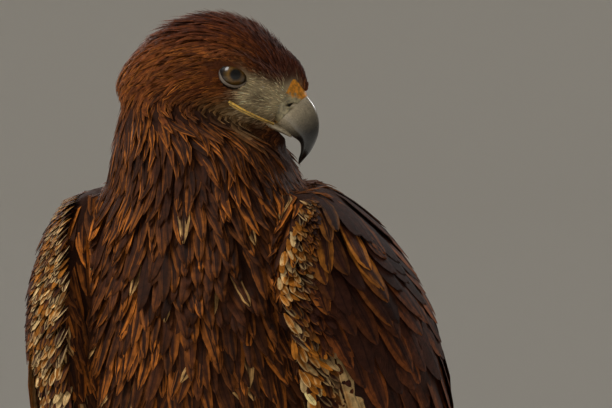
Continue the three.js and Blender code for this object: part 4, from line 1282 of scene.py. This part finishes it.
# Each row of the cere and the bill: the top line's forward and up, the bottom line's forward and
# up, and the half width.
CERE = [
    [24, 11, 20, -20, 14], [33, 12.0, 26, -22, 12.5], [38.5, 6.2, 29, -24, 11.5],
    [45, -3.3, 31.8, -25.8, 10.6],
]
BILL = [
    [42.5, -2.2, 30.5, -25.2, 9.8], [44.6, -3.1, 31.6, -25.8, 10.3], [51, -8.2, 36.5, -28, 9.3],
    [56.2, -16.5, 42, -30.5, 8], [58, -26, 48, -33, 6.2], [56.2, -36.4, 50, -38.5, 4],
    [52.5, -44, 49.8, -43, 1.6], [51.2, -46.3, 50.4, -46.0, 0.4],
]
LOWER_BILL = [
    [20, -22, 18, -28, 6], [30, -24.2, 29, -29.6, 6.6], [37, -26.4, 36.5, -30.6, 5.8],
    [42.5, -28.8, 42, -31.6, 3.2],
]
# The upper and lower edges of the mouth: forward, side, up, radius.
GAPE = [
    [1.5, 25.6, -18.9, 1.0], [11, 24.0, -21.6, 0.95],
    [21, 19.4, -23.8, 0.8], [31, 12.4, -25.4, 0.6],
]
LIP = [
    [2.5, 25.5, -20.2, 0.8], [11, 24.0, -22.8, 0.75],
    [21, 19.5, -24.8, 0.6], [31, 12.2, -26.1, 0.5],
]
# Place of the left nostril in the head's frame, half its length and width, how far its slit leans,
# and how deep it is and how high its rim.
NOSTRIL_FORWARD, NOSTRIL_UP, NOSTRIL_LONG, NOSTRIL_WIDE = 38.3, -11, 3.5, 1.25
NOSTRIL_LEAN = math.radians(22)
NOSTRIL_DEEP, NOSTRIL_RIM = 2.4, 0.5
CERE_VOXEL, CERE_ROUNDS = 0.0004, 3
# The near-black colour is painted shade, laid in the nostrils' hollows and in the seam between the
# lips.
CERE_YELLOW, CERE_DULL, SLIT_PAINTED_SHADE = colour("e8971f"), colour("a89c7a"), colour("16100c")
GAPE_YELLOW = colour("e3b552")
HORN_GREY, HORN_BLACK = colour("c2b294"), colour("1a1815")


def bill_rings(rows, steps, keel=0.25, sides=32):
    """Rings that lean with the top and bottom lines of a half of the bill."""
    turn = np.linspace(0, 2 * np.pi, sides, endpoint=False)
    share = (1 + np.cos(turn)) / 2
    rings = []
    for tf, tu, bf, bu, half in along(rows, np.linspace(0, len(rows) - 1, steps)):
        wide = half * np.sin(turn) * (1 - keel * np.cos(turn))
        rings.append(in_head(bf + (tf - bf) * share, wide, bu + (tu - bu) * share))
    return rings


def set_points(piece, points_mm):
    """Moves the points of a piece to places in the bird's millimetres."""
    piece.data.vertices.foreach_set("co", metres(points_mm).astype(np.float32).ravel())


bm = bmesh.new()
tube(bm, bill_rings(CERE, 10))
for side in (1, -1):
    for lip in (GAPE, LIP):
        points = [in_head(f, side * l, u) for f, l, u, _ in lip]
        tube(bm, rod_rings(points, [row[3] for row in lip], 12, 24))
cere = fused(finished(bm, "cere_skin"), CERE_VOXEL, CERE_ROUNDS)
points = millimetres(values_of(cere, "co"))
f, l, u = from_head(points)
cosine, sine = math.cos(NOSTRIL_LEAN), math.sin(NOSTRIL_LEAN)
df, du = f - NOSTRIL_FORWARD, u - NOSTRIL_UP
slit = np.hypot((df * cosine + du * sine) / NOSTRIL_LONG, (du * cosine - df * sine) / NOSTRIL_WIDE)
hole = smooth(1.2, 0.6, slit) * (abs(l) > 4)
rim = smooth(2.6, 1.4, slit) * (1 - hole) * (abs(l) > 4)
set_points(cere, points - np.outer(np.sign(l) * (NOSTRIL_DEEP * hole - NOSTRIL_RIM * rim), LEFT))
ragged = np.array([
    noise.noise(Vector(spot) / 2.2) + 0.6 * noise.noise(Vector(spot) / 0.9) for spot in points])
yellow = smooth(-6.5, -2.5, u + 0.35 * (f - 36) + 3.5 * ragged)
mouth = np.interp(f, [1, 11, 21, 31], [-19.7, -22.2, -24.3, -26.0])
lips = smooth(2.8, 1.9, abs(u - mouth)) * smooth(33.5, 31.5, f)
# Painted shade: the nostrils and the line where the lips meet are coloured near black.
slit_painted_shade = np.clip(smooth(0.45, 0.15, abs(u - mouth)) * lips * 0.8 + hole, 0, 1)
store_ground(cere, layered(
    CERE_DULL, (CERE_YELLOW, yellow), (GAPE_YELLOW, lips * smooth(-2.2, -0.2, u - mouth)),
    (SLIT_PAINTED_SHADE, slit_painted_shade)))
# Waxy skin: soft gloss, light goes a little way in, with 0.7 mm pores and faint dark blotches
# 2.4 mm wide.
cere_material, tree, shader = new_material(
    "waxy_cere_skin", 0.38, Subsurface_Weight=0.15, Subsurface_Scale=0.002,
    Subsurface_Radius=(1.0, 0.5, 0.2))
place = node(tree, "ShaderNodeTexCoord").outputs["Object"]
pores = node(tree, "ShaderNodeTexNoise", {"Vector": place, "Scale": 1400.0, "Detail": 5.0})
blotch = node(tree, "ShaderNodeTexNoise", {"Vector": place, "Scale": 420.0, "Detail": 5.0})
own_colour(
    tree, shader, blotch.outputs["Fac"], (0.36, 0.62), (0.5, 1.15), pores.outputs["Fac"],
    strength=0.4, depth=0.0004)
cere.data.materials.clear()
cere.data.materials.append(cere_material)
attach(cere, "root")
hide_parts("cere")

# Bill of horn: pale beige-grey at the root and black at the hook, polished by use so that the
# lights show in it, with faint lines of growth along it, drawn 2.4 mm apart so that they show.
bill_material, tree, shader = new_material(
    "bill_horn", 0.24, Specular_IOR_Level=0.55, Coat_Weight=0.35, Coat_Roughness=0.12)
place = node(tree, "ShaderNodeTexCoord").outputs["Object"]
growth = node(tree, "ShaderNodeTexNoise", {
    "Vector": place, "Scale": 420.0, "Detail": 6.0, "Distortion": 1.5})
fac = growth.outputs["Fac"]
own_colour(tree, shader, fac, (0.3, 0.7), (0.72, 1.25), fac, strength=0.22, depth=0.0006)


def horn_piece(name, rings, start, end, nodes):
    """A piece of horn that darkens from start to end of its length."""
    bm = bmesh.new()
    tube(bm, rings)
    piece = finished(bm, name)
    points = values_of(piece, "co")
    centres = metres(np.stack([ring.mean(axis=0) for ring in rings]))
    gaps = np.linalg.norm(points[:, None] - centres[None], axis=2)
    share = gaps.argmin(axis=1) / (len(rings) - 1)
    store_ground(piece, blend(HORN_GREY, HORN_BLACK, smooth(start, end, share)))
    finish = piece.modifiers.new("round", "SUBSURF")
    finish.levels = finish.render_levels = 1
    piece.data.materials.append(bill_material)
    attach(piece, "root")
    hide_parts(*nodes)


horn_piece("upper_bill_horn", bill_rings(BILL, 30), 0.02, 0.55, ["upper_bill"])
horn_piece("lower_bill_horn", bill_rings(LOWER_BILL, 12), 0.9, 1.6, ["lower_bill"])


# ---- Feet and claws ----
# Bare yellow toes with broad scutes on top and pads below, and long hooked claws of black horn.
# The soles are flat where they rest on the ground.

PALM = (15, 17, 13)  # half sizes of the ball of the foot
TOE_DROP = 1.2  # by which the soles are sunk under the ground before they are flattened
# Each toe: angle from the front towards the outside, length, radius, length of its claw.
TOES = [
    ["inner", -32, 52, 9, 46], ["middle", 3, 68, 9, 38], ["outer", 40, 56, 8.5, 29],
    ["hallux", 188, 33, 10, 52],
]
TOE_TAPER = [1.1, 1.0, 0.92, 0.76]
# Along a claw: share of its length and height over the toe's radius, and its radius as a share of
# the toe's. Then the radius and height of its point, and how far back in the toe it starts.
CLAW_ARCH = [[0, -1.5], [0.3, 4], [0.65, 4], [0.9, -1]]
CLAW_TAPER = [0.55, 0.52, 0.385, 0.19]
CLAW_POINT, CLAW_TIP_HIGH, CLAW_BACK = 0.5, 3.2, 4
FOOT_VOXEL, FOOT_ROUNDS = 0.0009, 2
SCUTE, PAD = 4.0, 17  # lengths of a scute on top and of a pad below
GROOVE_DEEP, PAD_HIGH = 0.5, 0.6
# The second toe colour is painted shade, for the grooves between the scutes and the pads
# underneath.
FOOT_YELLOW, FOOT_PAINTED_SHADE = colour("d8a233"), colour("7c5418")

# Skin of the toes: dry and hard with a low gloss, covered with scales about 2 mm wide, and dirt
# that darkens patches of it.
foot_material, tree, shader = new_material(
    "scaly_foot_skin", 0.42, Subsurface_Weight=0.1, Subsurface_Scale=0.002)
place = node(tree, "ShaderNodeTexCoord").outputs["Object"]
scales = node(tree, "ShaderNodeTexVoronoi", {"Vector": place, "Scale": 480.0})
dirt = node(tree, "ShaderNodeTexNoise", {"Vector": place, "Scale": 180.0, "Detail": 4.0})
own_colour(
    tree, shader, dirt.outputs["Fac"], (0.3, 0.7), (0.65, 1.15), scales.outputs["Distance"],
    strength=0.5, depth=0.0006, invert=True)


def heading_of(side, angle):
    """The way that a toe points over the ground."""
    return np.array([side * math.sin(math.radians(angle)), -math.cos(math.radians(angle)), 0])


for side, word in ((1, "left"), (-1, "right")):
    bm = bmesh.new()
    bmesh.ops.create_uvsphere(bm, u_segments=32, v_segments=20, radius=1)
    for vert in bm.verts:
        vert.co = metres(np.array(vert.co) * PALM + (side * FOOT[0], FOOT[1], PALM[2] - TOE_DROP))
    middle = np.array([side * FOOT[0], FOOT[1], 0])
    lines = []
    for _, angle, length, radius, _ in TOES:
        heading = heading_of(side, angle)
        radii = radius * np.array(TOE_TAPER)
        line = middle + np.outer(np.linspace(0, length, 4), heading)
        line[:, 2] = radii - TOE_DROP
        lines.append((line[0], heading, length))
        tube(bm, rod_rings(line, radii, 20, 16))
        tip = bmesh.ops.create_uvsphere(bm, u_segments=16, v_segments=12, radius=radii[-1] / 1000)
        bmesh.ops.translate(bm, verts=tip["verts"], vec=Vector(metres(line[-1])))
    foot = fused(finished(bm, f"{word}_foot_skin"), FOOT_VOXEL, FOOT_ROUNDS)
    points = millimetres(values_of(foot, "co"))
    normals = values_of(foot, "normal")
    best, phase = np.full(len(points), 1e9), np.zeros(len(points))
    for start, heading, length in lines:
        walk = np.clip((points - start) @ heading, 0, length)
        gap = np.linalg.norm(points[:, :2] - start[:2] - walk[:, None] * heading[:2], axis=1)
        phase = np.where(gap < best, walk, phase)
        best = np.minimum(gap, best)
    groove = (0.5 + 0.5 * np.cos(2 * np.pi * phase / SCUTE)) ** 4
    top = smooth(0.15, 0.6, normals[:, 2])
    pad = smooth(-0.1, -0.7, normals[:, 2]) * (0.5 + 0.5 * np.cos(2 * np.pi * phase / PAD))
    moved = points - normals * (GROOVE_DEEP * groove * top)[:, None]
    moved = moved + normals * (PAD_HIGH * pad)[:, None]
    moved[:, 2] = np.maximum(moved[:, 2], 0.0)
    set_points(foot, moved)
    # Painted shade: the skin darkens in the grooves between the scutes on top and on the pads
    # below.
    deep = np.clip(groove * top + 0.3 * pad, 0, 1)
    store_ground(foot, blend(FOOT_YELLOW, FOOT_PAINTED_SHADE, deep))
    foot.data.materials.clear()
    foot.data.materials.append(foot_material)
    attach(foot, "root")
    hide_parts(f"{word}_foot")
    for toe, angle, length, radius, claw_length in TOES:
        heading = heading_of(side, angle)
        base = middle + heading * (length - CLAW_BACK)
        arch = [[share, radius + rise] for share, rise in CLAW_ARCH] + [[1, CLAW_TIP_HIGH]]
        line = np.array([
            base + heading * share * claw_length + (0, 0, high) for share, high in arch])
        radii = [share * radius for share in CLAW_TAPER] + [CLAW_POINT]
        rings = list(rod_rings(line, radii, 16, 20))
        horn_piece(f"{word}_{toe}_claw_horn", rings, -0.4, 0.25, [f"{word}_{toe}_claw"])


# ---- Floor, light and camera ----
# A plain pale studio floor of paper that curves up at a distance, three soft lights, and a long
# lens at the height of the bird's breast, a little to its left.

# Half of the floor's section: distance from the middle, and height, in metres.
FLOOR_LINE = [(0, 0), (9, 0), (12.5, 0.5), (15, 2), (16.5, 4.5), (17, 9), (17, 14)]
BREAST = Vector((0, -0.1, 0.5))  # what the lights shine on
bm = bmesh.new()
line = [bm.verts.new((radius, 0, height)) for radius, height in FLOOR_LINE]
edges = [bm.edges.new(ends) for ends in zip(line, line[1:])]
bmesh.ops.spin(
    bm, geom=line + edges, cent=(0, 0, 0), axis=(0, 0, 1), angle=2 * math.pi, steps=64,
    use_merge=True)
floor = finished(bm, "floor")
# Matt paper: pale and even, with no gloss, so it shows only soft shadows.
floor_material, tree, shader = new_material("matt_paper", 0.9)
shader.inputs["Base Color"].default_value = (*colour("e4e0d8"), 1)
floor.data.materials.append(floor_material)

world = bpy.data.worlds.new("studio")
bpy.context.scene.world = world
world.use_nodes = True
sky = world.node_tree.nodes["Background"]
sky.inputs["Color"].default_value = (*colour("e4e2df"), 1)
sky.inputs["Strength"].default_value = 0.45
bpy.context.scene.view_settings.view_transform = "Standard"

AZIMUTH = math.radians(15)  # of the camera, from the front
RIGHT = np.array([math.cos(AZIMUTH), math.sin(AZIMUTH), 0])
BACK = np.array([math.sin(AZIMUTH), -math.cos(AZIMUTH), 0])
# Each light: its place, watts and width in metres.
for name, place, power, size in (
    ("key", (-1.2, -1.5, 1.8), 30, 0.9),
    ("rim", (1.1, 1.9, 1.7), 14, 0.6),
    ("back", (-1.2, 1.4, 1.5), 14, 0.8),
):
    lamp = bpy.data.lights.new(name, "AREA")
    lamp.energy = power
    lamp.size = size
    holder = bpy.data.objects.new(name, lamp)
    holder.location = place
    holder.rotation_euler = (BREAST - Vector(place)).to_track_quat("-Z", "Y").to_euler()
    bpy.context.scene.collection.objects.link(holder)

# The picture's width is 0.39 m at the head, and its middle is 0.55 m over the floor.
REACH, FRAME_WIDTH, SENSOR = 2.75, 0.390, 36
HEAD_NEAR, AIM_RIGHT, AIM_UP = 0.18, 0.0078, 0.5506  # the head's way to the camera, and the aim
lens = bpy.data.cameras.new("camera")
lens.sensor_width = SENSOR
lens.lens = SENSOR * REACH / FRAME_WIDTH
camera = bpy.data.objects.new("camera", lens)
camera.location = RIGHT * AIM_RIGHT + BACK * (REACH + HEAD_NEAR) + np.array([0, 0, AIM_UP])
camera.rotation_euler = Vector(-BACK).to_track_quat("-Z", "Y").to_euler()
bpy.context.scene.collection.objects.link(camera)
bpy.context.scene.camera = camera

bpy.context.view_layer.update()
